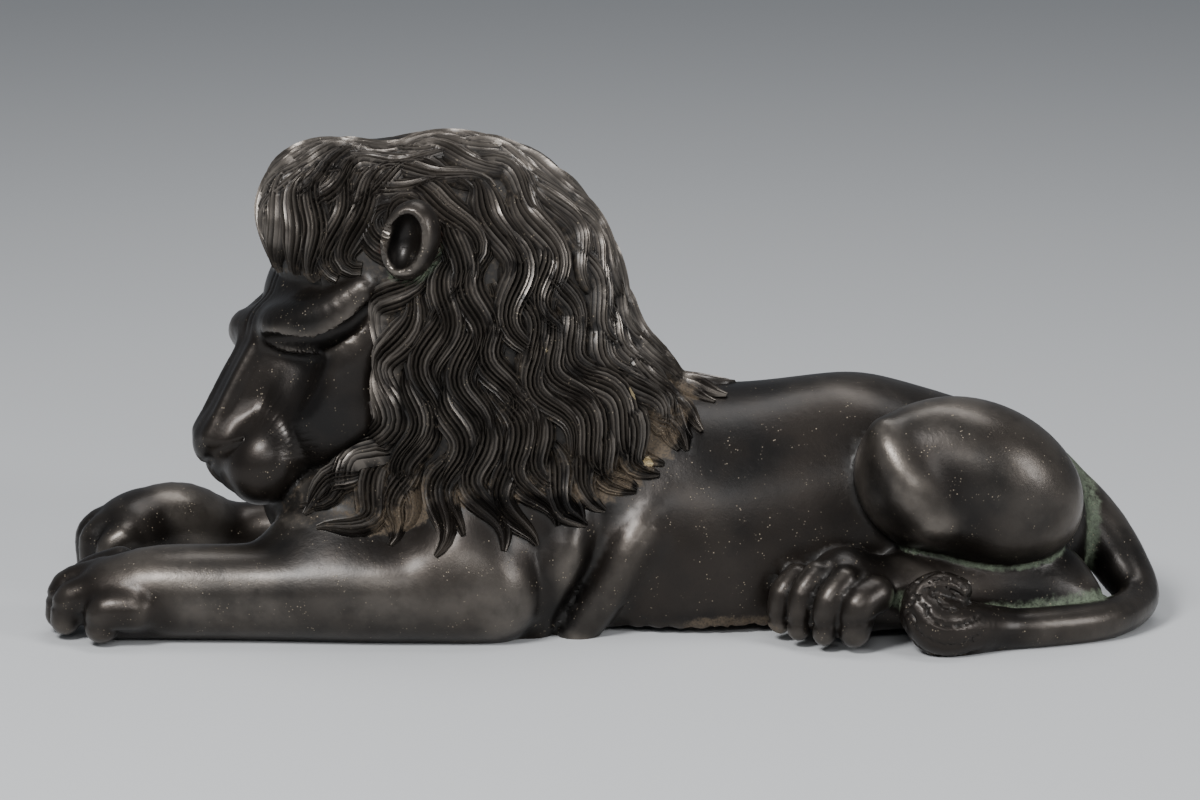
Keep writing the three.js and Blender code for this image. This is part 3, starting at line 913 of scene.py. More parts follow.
@dataclass
class Mane:
    """The mane: the mass that the hair lies on, and the locks that follow it."""

    head: Head
    hair_edge: float = 80.0
    hairline: float = 114.0
    jaw: float = 47.0
    side_by_side: float = 8.0
    apart_along: float = 17.0
    apart_in_forelock: float = 12.0
    lock_length: float = 50.0
    reach_back: float = 9.0
    wave_length: float = 36.0
    sway: float = 0.68
    cuts: dict[Side, LockCut] = field(
        default_factory=lambda: {
            Side.NEAR: LockCut(strands=9, columns=2, width=14.2, height=5.1, groove=1.3, stride=2.8),
            Side.FAR: LockCut(strands=5, columns=2, width=13.0, height=5.6, groove=1.1, stride=4.0),
        }
    )

    def form(self) -> Form:
        """Returns the mass of the mane, kept clear of the face."""
        full = Blend(
            14,
            Mass((-90, 0, 130.5), (20, 29, 22)),
            Mass((-50, 0, 97), (56, 46.5, 58.5)),
            Mass((-42, 0, 60), (46, 44, 36)),
            Mass((-8, 0, 66), (33, 39, 30)),
            Mass((-79, -3, 44), (34, 37, 33)),
        )
        return Hollowed(3, full, Ruled(self.face_room))

    def face_room(self, p: Points) -> Values:
        """Works out how far points are from the room that the face has in front of the mane.

        Args:
            p: Any points.

        Returns:
            The distance of each, negative in the room.
        """
        level = self.head.axes()[0] * np.array([1, 1, 0])
        behind = self.hair_edge - p @ (level / np.linalg.norm(level))
        jaw = self.jaw + 0.62 * np.maximum(0, behind + 26) - p[:, 2]
        return np.maximum(np.maximum(behind, p[:, 2] - self.hairline), jaw)

    def lower_edge(self, p: Points) -> Values:
        """Returns the height of the mane's lower edge at each point."""
        x = p[:, 0]
        return 33 + np.where(x > -40, 0.0065, 0.003) * (x + 40) ** 2

    def falling(self, p: Points) -> Values:
        """Works out how far the hair has stopped going round the ear and falls.

        Args:
            p: Points on the mane.

        Returns:
            Shares from 0 to 1.
        """
        ear = self.head.ear_at
        below = ear[2] - p[:, 2]
        behind = smooth_step(-30, -12, p[:, 0] - ear[0])
        return smooth_step(2, 26, below) * np.maximum(behind, smooth_step(30, 50, below))

    def flow(self, p: Points) -> Points:
        """Works out the way that the hair lies: round the ear, then down, fanning out.

        Args:
            p: Points on the mane.

        Returns:
            Unit vectors.
        """
        x, _, z = p.T
        ex, ez = x - self.head.ear_at[0], z - self.head.ear_at[2]
        level = np.zeros(len(p))
        around = unit(np.stack([ez, level, -ex], axis=1))
        fan = 0.013 * (x + 50) - 0.05 * np.maximum(0, -66 - x)
        down = unit(np.stack([fan, level, level - 1], axis=1))
        fall = self.falling(p)[:, None]
        return unit(around * (1 - fall) + down * fall)

    def along(self, p: Points) -> Values:
        """Works out how far along the hair points are, so that neighbouring locks wave together.

        Args:
            p: Points on the mane.

        Returns:
            Distances in millimetres.
        """
        ear = self.head.ear_at
        round_ear = -np.arctan2(p[:, 2] - ear[2], p[:, 0] - ear[0]) * 45
        fall = self.falling(p)
        return round_ear * (1 - fall) - p[:, 2] * fall

    def roots(self, coat: Form) -> Points:
        """Spreads the locks' roots evenly over the mane.

        Args:
            coat: The form that the hair lies on.

        Returns:
            The roots.
        """
        rays, stride, outside = 3000, 997, 120.0
        number = (np.arange(rays) * stride) % rays
        height = 1 - 2 * (number + 0.5) / rays
        turn = math.pi * (3 - math.sqrt(5)) * number
        flat = np.sqrt(1 - height**2)
        ray = np.stack([flat * np.cos(turn), flat * np.sin(turn), height], axis=1)
        p = np.array([-45.0, 0.0, 84.0]) + ray * outside
        for _ in range(30):
            p = p - ray * (coat.at(p) * 0.8)[:, None]
        flow = self.flow(p)
        head, mane = self.head.form(), self.form()
        on_mane = (mane.at(p) < 2) & (head.at(p) > 0.8) & (np.abs(coat.at(p)) < 0.5)
        fits = on_mane & (p[:, 2] > self.lower_edge(p))
        forelock = (p[:, 2] > 112) & (p[:, 0] < -58)
        apart_along = np.where(forelock, self.apart_in_forelock, self.apart_along)
        kept: list[int] = []
        for i in np.flatnonzero(fits):
            d = p[i] - p[kept]
            along = d @ flow[i]
            across = np.sqrt(np.maximum(0, (d * d).sum(axis=1) - along**2))
            if not np.any((across / self.side_by_side) ** 2 + (along / apart_along[i]) ** 2 < 1):
                kept.append(int(i))
        return p[kept]

    def guides(self, coat: Form, roots: Points, stride: float) -> tuple[np.ndarray, np.ndarray]:
        """Follows the hair from each root over the surface, waving from side to side.

        Args:
            coat: The form that the hair lies on.
            roots: Where the locks start.
            stride: The step along a lock.

        Returns:
            Points by step and lock, and how many steps each lock has.
        """
        seed = np.arange(len(roots))
        length = self.lock_length + 16 * chance(seed + 0.5)
        start = self.along(roots) + 11 * chance(seed)
        head, mane = self.head.form(), self.form()
        p = coat.settled(roots)
        for _ in range(int(self.reach_back / stride)):
            q = coat.settled(p - self.flow(p) * stride)
            on_mane = (mane.at(q) < 1.5) & (head.at(q) > 0.8) & (q[:, 2] > self.lower_edge(q) + 6)
            p = np.where(on_mane[:, None], q, p)
        steps = int(length.max() / stride) + 1
        path = np.zeros((steps, len(roots), 3))
        count = np.zeros(len(roots), int)
        growing = np.ones(len(roots), bool)
        for i in range(steps):
            path[i] = p
            growing &= (p[:, 2] > self.lower_edge(p) - 4) & (head.at(p) > -2) & (i * stride <= length)
            count += growing
            out = coat.outward(p)
            flow = self.flow(p)
            level = unit(flow - out * dots(flow, out)[:, None])
            sway = self.sway * np.sin(2 * math.pi * (i * stride + start) / self.wave_length)
            p = p + unit(level + np.cross(out, level) * sway[:, None]) * stride
            p = coat.settled(p, rounds=1)
        return path, count

    def guide_mesh(self, coat: Form, roots: Points, side: Side) -> bpy.types.Object:
        """Lays the guides of one side out as lines, each point with its way out and its size.

        Args:
            coat: The form that the hair lies on.
            roots: Where the locks start.
            side: Which side's locks.

        Returns:
            An object of loose lines.
        """
        cut = self.cuts[side]
        path, count = self.guides(coat, roots, cut.stride)
        points, lines, out, size = [], [], [], []
        for lock, steps in enumerate(count):
            if steps * cut.stride < 12:
                continue
            line = path[:steps, lock]
            t = np.linspace(0, 1, steps)
            scale = (0.45 + 0.55 * smooth_step(0, 0.3, t)) * (1 - 0.88 * t**2.6)
            normal = coat.outward(line)
            lift = cut.height * (0.34 * t**0.7 - 0.24 + 0.14 * (chance(lock + 0.3) - 0.5))
            first = sum(len(q) for q in points)
            points.append(line + normal * lift[:, None])
            lines += [(first + i, first + i + 1) for i in range(steps - 1)]
            out.append(normal)
            size.append(scale * (0.88 + 0.24 * chance(lock + 0.7)))
        mesh = bpy.data.meshes.new(f"{side.value}_guides")
        mesh.from_pydata(np.concatenate(points) * MM, lines, [])
        ways_out = mesh.attributes.new("out", "FLOAT_VECTOR", "POINT")
        ways_out.data.foreach_set("vector", np.concatenate(out).ravel())
        sizes = mesh.attributes.new("size", "FLOAT", "POINT")
        sizes.data.foreach_set("value", np.concatenate(size))
        return linked(mesh, mesh.name)

    def locks(self, coat: Form, finish: bpy.types.Material) -> dict[Side, bpy.types.Object]:
        """Builds the locks of both sides.

        Args:
            coat: The form that the hair lies on.
            finish: The material.

        Returns:
            Each side's locks as one object.
        """
        roots = self.roots(coat)
        seen = (roots[:, 1] < 8) | (roots[:, 0] < -96)
        tree = lock_tree()
        made = {}
        for side, chosen in ((Side.NEAR, seen), (Side.FAR, ~seen)):
            cut = self.cuts[side]
            guides = self.guide_mesh(coat, roots[chosen], side)
            sizes = {
                "Strands": cut.strands,
                "Columns": cut.columns,
                "Width": cut.width * MM,
                "Height": cut.height * MM,
                "Groove": cut.groove * MM,
                "Finish": finish,
            }
            made[side] = grown(guides, tree, sizes, f"{side.value}_locks")
            log.info("%s locks: %d, %d faces", side.value, int(chosen.sum()), len(made[side].data.polygons))
        return made


# Skin


@dataclass
class Skin:
    """A closed surface of triangles: its points, and each triangle's three corners."""

    points: Points
    faces: np.ndarray

    @classmethod
    def over(cls, form: Form, low: Triple, high: Triple, step: float) -> "Skin":
        """Lays a skin over a form.

        Args:
            form: The form.
            low: The lowest corner of the room that it is in.
            high: The highest corner.
            step: How far apart the form is read.

        Returns:
            The skin of its largest body.
        """
        axes = [np.arange(a, b, step) for a, b in zip(low, high)]
        grid = np.stack(np.meshgrid(*axes, indexing="ij"), axis=-1).reshape(-1, 3)
        values = form.at(grid).reshape([len(a) for a in axes]).astype(np.float32)
        volume = openvdb.FloatGrid(10.0)
        volume.copyFromArray(values)
        points, triangles, quads = volume.convertToPolygons(isovalue=0.0, adaptivity=0.0)
        faces = np.concatenate([triangles, quads[:, [0, 1, 2]], quads[:, [0, 2, 3]]]).astype(np.int64)
        skin = cls(points.astype(float) * step + np.array(low), faces).largest()
        return skin if skin.volume() > 0 else cls(skin.points, skin.faces[:, ::-1])

    def volume(self) -> float:
        """Returns the volume inside, which is negative if the faces are inside out."""
        a, b, c = (self.points[self.faces[:, i]] for i in range(3))
        return float(dots(a, np.cross(b, c)).sum() / 6)

    def edges(self) -> tuple[np.ndarray, np.ndarray]:
        """Lists the edges.

        Returns:
            Each edge's two ends, and each face's three edges, the first between its first two corners.
        """
        sides = np.stack([self.faces, np.roll(self.faces, -1, axis=1)], axis=2).reshape(-1, 2)
        ends = np.sort(sides, axis=1)
        key = ends[:, 0] * len(self.points) + ends[:, 1]
        unique, of_face = np.unique(key, return_inverse=True)
        ends = np.stack([unique // len(self.points), unique % len(self.points)], axis=1)
        return ends, of_face.reshape(-1, 3)

    def largest(self) -> "Skin":
        """Picks out the largest of its bodies.

        Returns:
            That body alone.
        """
        ends, _ = self.edges()
        label = np.arange(len(self.points))
        while True:
            low = np.minimum(label[ends[:, 0]], label[ends[:, 1]])
            before = label.copy()
            np.minimum.at(label, ends[:, 0], low)
            np.minimum.at(label, ends[:, 1], low)
            label = label[label]
            if np.array_equal(before, label):
                break
        main = np.bincount(label).argmax()
        number = np.cumsum(label == main) - 1
        return Skin(self.points[label == main], number[self.faces[label[self.faces[:, 0]] == main]])

    def split(self, chosen: np.ndarray) -> "Skin":
        """Splits chosen edges in the middle.

        Args:
            chosen: For each edge, whether it is split.

        Returns:
            The finer skin.
        """
        ends, of_face = self.edges()
        number = np.full(len(ends), -1)
        number[chosen] = len(self.points) + np.arange(int(chosen.sum()))
        middles = self.points[ends[chosen]].mean(axis=1)
        middle = number[of_face]
        count = (middle >= 0).sum(axis=1)
        cut_side = (middle >= 0).argmax(axis=1)
        whole_side = (middle >= 0).argmin(axis=1)
        first = np.where(count == 1, cut_side, np.where(count == 2, whole_side + 1, 0))
        order = (np.arange(3)[None, :] + first[:, None]) % 3
        corners = np.take_along_axis(self.faces, order, axis=1)
        middle = np.take_along_axis(middle, order, axis=1)
        patterns = {
            0: ("abc",),
            1: ("axc", "xbc"),
            2: ("xby", "axy", "ayc"),
            3: ("axz", "xby", "zyc", "xyz"),
        }
        faces = []
        for amount, pattern in patterns.items():
            rows = count == amount
            named = dict(zip("abcxyz", np.concatenate([corners[rows], middle[rows]], axis=1).T))
            faces += [np.stack([named[letter] for letter in corner], axis=1) for corner in pattern]
        return Skin(np.concatenate([self.points, middles]), np.concatenate(faces))

    def relaxed(self, form: Form, share: float = 0.5) -> "Skin":
        """Evens out the triangles along the surface.

        Args:
            form: The form that the skin lies on.
            share: How far each point moves towards the middle of its neighbours.

        Returns:
            The evened skin.
        """
        pull = self.neighbours(self.points) - self.points
        out = form.outward(self.points)
        level = pull - out * dots(pull, out)[:, None]
        return Skin(self.points + level * share, self.faces)

    def neighbours(self, values: np.ndarray) -> np.ndarray:
        """Averages values over each point's neighbours.

        Args:
            values: A number or a row for each point.

        Returns:
            The averages.
        """
        ends, _ = self.edges()
        count = np.bincount(ends.ravel(), minlength=len(self.points))
        columns = values.reshape(len(values), -1).T
        total = [
            np.bincount(ends[:, 0], c[ends[:, 1]], len(values))
            + np.bincount(ends[:, 1], c[ends[:, 0]], len(values))
            for c in columns
        ]
        return (np.stack(total, axis=1) / np.maximum(count, 1)[:, None]).reshape(values.shape)

    def object(self, name: str) -> bpy.types.Object:
        """Makes an object of the skin, in metres.

        Args:
            name: The object's name.

        Returns:
            The object.
        """
        mesh = bpy.data.meshes.new(name)
        mesh.from_pydata(self.points * MM, [], self.faces)
        return linked(mesh, name)


def linked(mesh: bpy.types.Mesh, name: str) -> bpy.types.Object:
    """Puts a mesh in the scene.

    Args:
        mesh: The mesh.
        name: The object's name.

    Returns:
        The new object that holds it.
    """
    made = bpy.data.objects.new(name, mesh)
    bpy.context.scene.collection.objects.link(made)
    return made


# Node trees


class Wire:
    """A node's output socket, on which sums can be written."""

    def __init__(self, nodes: "Nodes", socket: bpy.types.NodeSocket) -> None:
        """Keeps the tree and the socket."""
        self.nodes = nodes
        self.socket = socket

    def output(self, name: str) -> "Wire":
        """Returns another output of the same node."""
        return Wire(self.nodes, self.socket.node.outputs[name])

    def __add__(self, other: "Wire | float") -> "Wire":
        """Returns the sum."""
        return self.nodes.math("ADD", self, other)

    def __sub__(self, other: "Wire | float") -> "Wire":
        """Returns the difference."""
        return self.nodes.math("SUBTRACT", self, other)

    def __rsub__(self, other: float) -> "Wire":
        """Returns the difference from a number."""
        return self.nodes.math("SUBTRACT", other, self)

    def __mul__(self, other: "Wire | float") -> "Wire":
        """Returns the product."""
        return self.nodes.math("MULTIPLY", self, other)

    def __truediv__(self, other: "Wire | float") -> "Wire":
        """Returns the quotient."""
        return self.nodes.math("DIVIDE", self, other)

    def __mod__(self, other: "Wire | float") -> "Wire":
        """Returns the remainder."""
        return self.nodes.math("MODULO", self, other)

    def __lt__(self, other: "Wire | float") -> "Wire":
        """Returns 1 where it is less."""
        return self.nodes.math("LESS_THAN", self, other)

    __radd__ = __add__
    __rmul__ = __mul__

    def graded(self, low: float, high: float) -> "Wire":
        """Grades it between two values, with smooth ends.

        Args:
            low: The value that gives 0.
            high: The value that gives 1.

        Returns:
            The graded wire.
        """
        settings = {"interpolation_type": "SMOOTHSTEP"}
        sockets = {"Value": self, "From Min": low, "From Max": high}
        return self.nodes.add("ShaderNodeMapRange", settings, sockets)


class Nodes:
    """A node tree that is built in the script."""

    def __init__(self, tree: bpy.types.NodeTree) -> None:
        """Empties the tree."""
        self.tree = tree
        tree.nodes.clear()

    def add(self, kind: str, settings: dict | None = None, sockets: dict | None = None) -> Wire:
        """Adds a node.

        Args:
            kind: The node's type.
            settings: Its properties, which are set first.
            sockets: Values or wires for its inputs, by name or number.

        Returns:
            Its first output that is enabled, or its first input where it has no output.
        """
        node = self.tree.nodes.new(kind)
        for name, value in (settings or {}).items():
            setattr(node, name, value)
        for name, value in (sockets or {}).items():
            for one in value if isinstance(value, list) else [value]:
                if isinstance(one, Wire):
                    self.tree.links.new(one.socket, node.inputs[name])
                else:
                    node.inputs[name].default_value = one
        shown = [s for s in node.outputs if s.enabled] or list(node.inputs)
        return Wire(self, shown[0])

    def math(self, operation: str, *values: "Wire | float") -> Wire:
        """Adds a sum on numbers."""
        return self.add("ShaderNodeMath", {"operation": operation}, dict(enumerate(values)))

    def mixed(self, factor: "Wire | float", a: "Wire | tuple", b: "Wire | tuple") -> Wire:
        """Mixes two colours.

        Args:
            factor: 0 for the first colour and 1 for the second.
            a: The first colour.
            b: The second colour.

        Returns:
            The mixed colour.
        """
        shown = [c if isinstance(c, Wire) else (*c, 1.0) for c in (a, b)]
        return self.add("ShaderNodeMix", {"data_type": "RGBA"}, {0: factor, 6: shown[0], 7: shown[1]})


def tree_with(name: str, inputs: dict[str, tuple[str, object]]) -> tuple[Nodes, dict[str, Wire]]:
    """Starts a geometry tree with named inputs.

    Args:
        name: The tree's name.
        inputs: For each input its socket's type and its default.

    Returns:
        The tree, and a wire for each input.
    """
    tree = bpy.data.node_groups.new(name, "GeometryNodeTree")
    for label, (kind, default) in {"Geometry": ("NodeSocketGeometry", None), **inputs}.items():
        socket = tree.interface.new_socket(label, in_out="INPUT", socket_type=kind)
        if default is not None:
            socket.default_value = default
    tree.interface.new_socket("Geometry", in_out="OUTPUT", socket_type="NodeSocketGeometry")
    nodes = Nodes(tree)
    first = nodes.add("NodeGroupInput")
    return nodes, {label: first.output(label) for label in ("Geometry", *inputs)}


def ended(nodes: Nodes, shape: Wire, finish: Wire) -> bpy.types.NodeTree:
    """Ends a tree in real meshes with a material.

    Args:
        nodes: The tree.
        shape: The geometry so far.
        finish: The material.

    Returns:
        The finished tree.
    """
    real = nodes.add("GeometryNodeRealizeInstances", None, {"Geometry": shape})
    dressed = nodes.add("GeometryNodeSetMaterial", None, {"Geometry": real, "Material": finish})
    nodes.add("NodeGroupOutput", None, {"Geometry": dressed})
    return nodes.tree


def lock_tree() -> bpy.types.NodeTree:
    """Builds the tree that turns guides into locks of rounded strands, with sharp grooves between.

    Returns:
        The tree.
    """
    nodes, given = tree_with(
        "lock of hair",
        {
            "Strands": ("NodeSocketInt", 7),
            "Columns": ("NodeSocketInt", 3),
            "Width": ("NodeSocketFloat", 0.0125),
            "Height": ("NodeSocketFloat", 0.005),
            "Groove": ("NodeSocketFloat", 0.001),
            "Finish": ("NodeSocketMaterial", None),
        },
    )
    columns = given["Columns"]
    last = given["Strands"] * columns
    section = nodes.add(
        "GeometryNodeCurvePrimitiveLine", None, {"Start": (0.0, -0.5, 0.0), "End": (0.0, 0.5, 0.0)}
    )
    section = nodes.add("GeometryNodeResampleCurve", None, {"Curve": section, "Count": last + 1})
    number = nodes.add("GeometryNodeInputIndex")
    across = number / last * 2 - 1
    crown = 1 - across * across
    arch = nodes.math("SQRT", nodes.math("MAXIMUM", crown, 0.0))
    in_groove = (number % columns) < 0.5
    uneven = nodes.math("SINE", number * 2.4) * 0.09 + 0.91
    tall = arch * given["Height"] * uneven - in_groove * given["Groove"]
    place = nodes.add("ShaderNodeCombineXYZ", None, {"X": tall, "Y": across * given["Width"] * 0.5})
    section = nodes.add("GeometryNodeSetPosition", None, {"Geometry": section, "Position": place})
    section = nodes.add("GeometryNodeSetSplineCyclic", None, {"Geometry": section, "Cyclic": True})
    out = nodes.add("GeometryNodeInputNamedAttribute", {"data_type": "FLOAT_VECTOR"}, {"Name": "out"})
    size = nodes.add("GeometryNodeInputNamedAttribute", {"data_type": "FLOAT"}, {"Name": "size"})
    lines = nodes.add("GeometryNodeMeshToCurve", None, {"Mesh": given["Geometry"]})
    lines = nodes.add("GeometryNodeSetCurveNormal", {"mode": "FREE"}, {"Curve": lines, "Normal": out})
    sweep = {"Curve": lines, "Profile Curve": section, "Scale": size, "Fill Caps": True}
    swept = nodes.add("GeometryNodeCurveToMesh", None, sweep)
    return ended(nodes, swept, given["Finish"])


def casting_tree() -> bpy.types.NodeTree:
    """Builds the tree that joins the body and every lock into one casting, cut flat where it lies.

    Returns:
        The tree.
    """
    nodes, given = tree_with(
        "one casting",
        {
            "Near locks": ("NodeSocketObject", None),
            "Far locks": ("NodeSocketObject", None),
            "Ground": ("NodeSocketFloat", 1.0),
            "Finish": ("NodeSocketMaterial", None),
        },
    )
    pieces = [given["Geometry"]]
    for label in ("Near locks", "Far locks"):
        brought = nodes.add("GeometryNodeObjectInfo", None, {"Object": given[label]}).output("Geometry")
        island = nodes.add("GeometryNodeInputMeshIsland").output("Island Index")
        apart = {"Geometry": brought, "Group ID": island}
        pieces.append(nodes.add("GeometryNodeSplitToInstances", None, apart))
    solver = {"solver": "MANIFOLD"}
    joined = nodes.add("GeometryNodeMeshBoolean", {"operation": "UNION", **solver}, {"Mesh 2": pieces})
    size = nodes.add("ShaderNodeCombineXYZ", None, {axis: given["Ground"] for axis in "XYZ"})
    block = nodes.add("GeometryNodeMeshCube", None, {"Size": size})
    depth = nodes.add("ShaderNodeCombineXYZ", None, {"Z": given["Ground"] * -0.5})
    block = nodes.add("GeometryNodeTransform", None, {"Geometry": block, "Translation": depth})
    both = {"Mesh 1": joined, "Mesh 2": [block]}
    cut = nodes.add("GeometryNodeMeshBoolean", {"operation": "DIFFERENCE", **solver}, both)
    return ended(nodes, cut, given["Finish"])


def grown(base: bpy.types.Object, tree: bpy.types.NodeTree, values: dict, name: str) -> bpy.types.Object:
    """Puts a geometry tree on an object and keeps what it makes as a plain mesh.

    Args:
        base: The object that the tree reads. It is deleted.
        tree: The tree.
        values: The tree's inputs by name.
        name: The new object's name.

    Returns:
        The new object.
    """
    modifier = base.modifiers.new("tree", "NODES")
    modifier.node_group = tree
    for item in tree.interface.items_tree:
        if item.in_out == "INPUT" and item.name in values:
            modifier[item.identifier] = values[item.name]
    graph = bpy.context.evaluated_depsgraph_get()
    mesh = bpy.data.meshes.new_from_object(base.evaluated_get(graph), depsgraph=graph)
    mesh.name = name
    bpy.data.objects.remove(base)
    return linked(mesh, name)


# Finishes


@dataclass(frozen=True)
class OldBronze:
    """Dark brown bronze, rubbed and given painted highlights on its high places, with painted shade and
    green and ochre deposits in its recesses.
    """

    dark: Triple = (0.0095, 0.0085, 0.0080)
    brown: Triple = (0.024, 0.0188, 0.0152)
    # Rubbed bronze, which also serves as a painted highlight on ridges and edges.
    rubbed_and_highlight: Triple = (0.205, 0.180, 0.155)
    # Near black: the painted shade in hollows and in the gaps under the locks.
    recess_shade: Triple = (0.006, 0.005, 0.004)
    green: Triple = (0.13, 0.165, 0.11)
    ochre: Triple = (0.15, 0.108, 0.065)
    speck: Triple = (0.30, 0.25, 0.18)
    gold: Triple = (0.40, 0.33, 0.20)
    red: Triple = (0.12, 0.045, 0.025)
    broad_clouds: float = 26.0
    patches: float = 95.0
    mottling: float = 420.0
    grit: float = 1500.0
    pits: float = 800.0
    roughness: float = 0.27
    metallic: float = 0.74
    waxed: float = 0.15

    def material(self) -> bpy.types.Material:
        """Builds the material.

        Returns:
            The material.
        """
        made = bpy.data.materials.new("old bronze")
        made.use_nodes = True
        nodes = Nodes(made.node_tree)
        place = nodes.add("ShaderNodeTexCoord").output("Object")
        mask = {
            name: nodes.add("ShaderNodeAttribute", {"attribute_name": name}).output("Fac")
            for name in ("cavity", "rub", "verdigris", "dust", "gold", "red")
        }

        def noise(scale: float, detail: float = 3.0, rough: float = 0.55) -> Wire:
            """Returns clouds of a size of one over the scale, in metres."""
            sockets = {"Vector": place, "Scale": scale, "Detail": detail, "Roughness": rough}
            return nodes.add("ShaderNodeTexNoise", None, sockets)

        broad, patchy = noise(self.broad_clouds), noise(self.patches, 4)
        fine, grit = noise(self.mottling, 4, 0.65), noise(self.grit, 2)
        cells = nodes.add("ShaderNodeTexVoronoi", None, {"Vector": place, "Scale": self.pits})
        sparse = noise(210, 2).graded(0.52, 0.68)
        speck = cells.graded(0.24, 0.10) * sparse
        colour = nodes.mixed(broad.graded(0.35, 0.65), self.dark, self.brown)
        colour = nodes.mixed(patchy.graded(0.40, 0.72) * 0.35, colour, self.brown)
        colour = nodes.mixed(fine.graded(0.45, 0.75) * 0.22, colour, self.dark)
        # Partly real wear, partly painted highlight: ridges and edges are lightened towards rubbed bronze.
        rub = mask["rub"] * (patchy.graded(0.25, 0.65) * 0.6 + 0.4)
        colour = nodes.mixed(rub * 0.75, colour, self.rubbed_and_highlight)
        # Painted shade: hollows and the gaps under the locks are darkened almost to black.
        cavity = mask["cavity"]
        colour = nodes.mixed(cavity * 0.85, colour, self.recess_shade)
        red = mask["red"] * fine.graded(0.3, 0.6)
        colour = nodes.mixed(red * 0.7, colour, self.red)
        dust = (mask["dust"] * 1.2 + fine - 0.75).graded(0.0, 0.42) * (0.45 + 0.55 * grit.graded(0.35, 0.6))
        colour = nodes.mixed(dust * 0.5, colour, self.ochre)
        green = (mask["verdigris"] * 1.3 + fine * 0.8 + patchy * 0.4 - 0.95).graded(0.0, 0.5)
        green = green * (0.5 + 0.5 * grit.graded(0.3, 0.6))
        colour = nodes.mixed(green * 0.8, colour, self.green)
        colour = nodes.mixed(speck * 0.65, colour, self.speck)
        gold = (mask["gold"] * 1.4 + fine - 1.05).graded(0.0, 0.15)
        colour = nodes.mixed(gold, colour, self.gold)
        dull = nodes.math("MINIMUM", green + dust * 0.9 + speck * 0.6 + cavity * 0.5 + red * 0.4, 1.0)
        roughness = self.roughness + broad * 0.10 + fine * 0.10 + dull * 0.38 - rub * 0.04
        metallic = self.metallic * (1 - dull * 0.85)
        relief = fine * 0.5 + grit * 0.16 - speck * 0.7 + patchy * 0.9
        bump = nodes.add("ShaderNodeBump", None, {"Strength": 0.32, "Distance": 0.0005, "Height": relief})
        shader = nodes.add(
            "ShaderNodeBsdfPrincipled",
            None,
            {
                "Base Color": colour,
                "Roughness": roughness,
                "Metallic": metallic,
                "Normal": bump,
                "Coat Weight": self.waxed * (1 - dull),
                "Coat Roughness": 0.24,
            },
        )
        nodes.add("ShaderNodeOutputMaterial", None, {"Surface": shader})
        return made


@dataclass(frozen=True)
class PaleFloor:
    """The plain floor of the studio."""

    colour: Triple = (0.52, 0.53, 0.54)
    roughness: float = 0.75

    def material(self) -> bpy.types.Material:
        """Builds the material.

        Returns:
            The material.
        """
        made = bpy.data.materials.new("pale floor")
        made.use_nodes = True
        nodes = Nodes(made.node_tree)
        sockets = {"Base Color": (*self.colour, 1.0), "Roughness": self.roughness}
        shader = nodes.add("ShaderNodeBsdfPrincipled", None, sockets)
        nodes.add("ShaderNodeOutputMaterial", None, {"Surface": shader})
        return made


# The casting


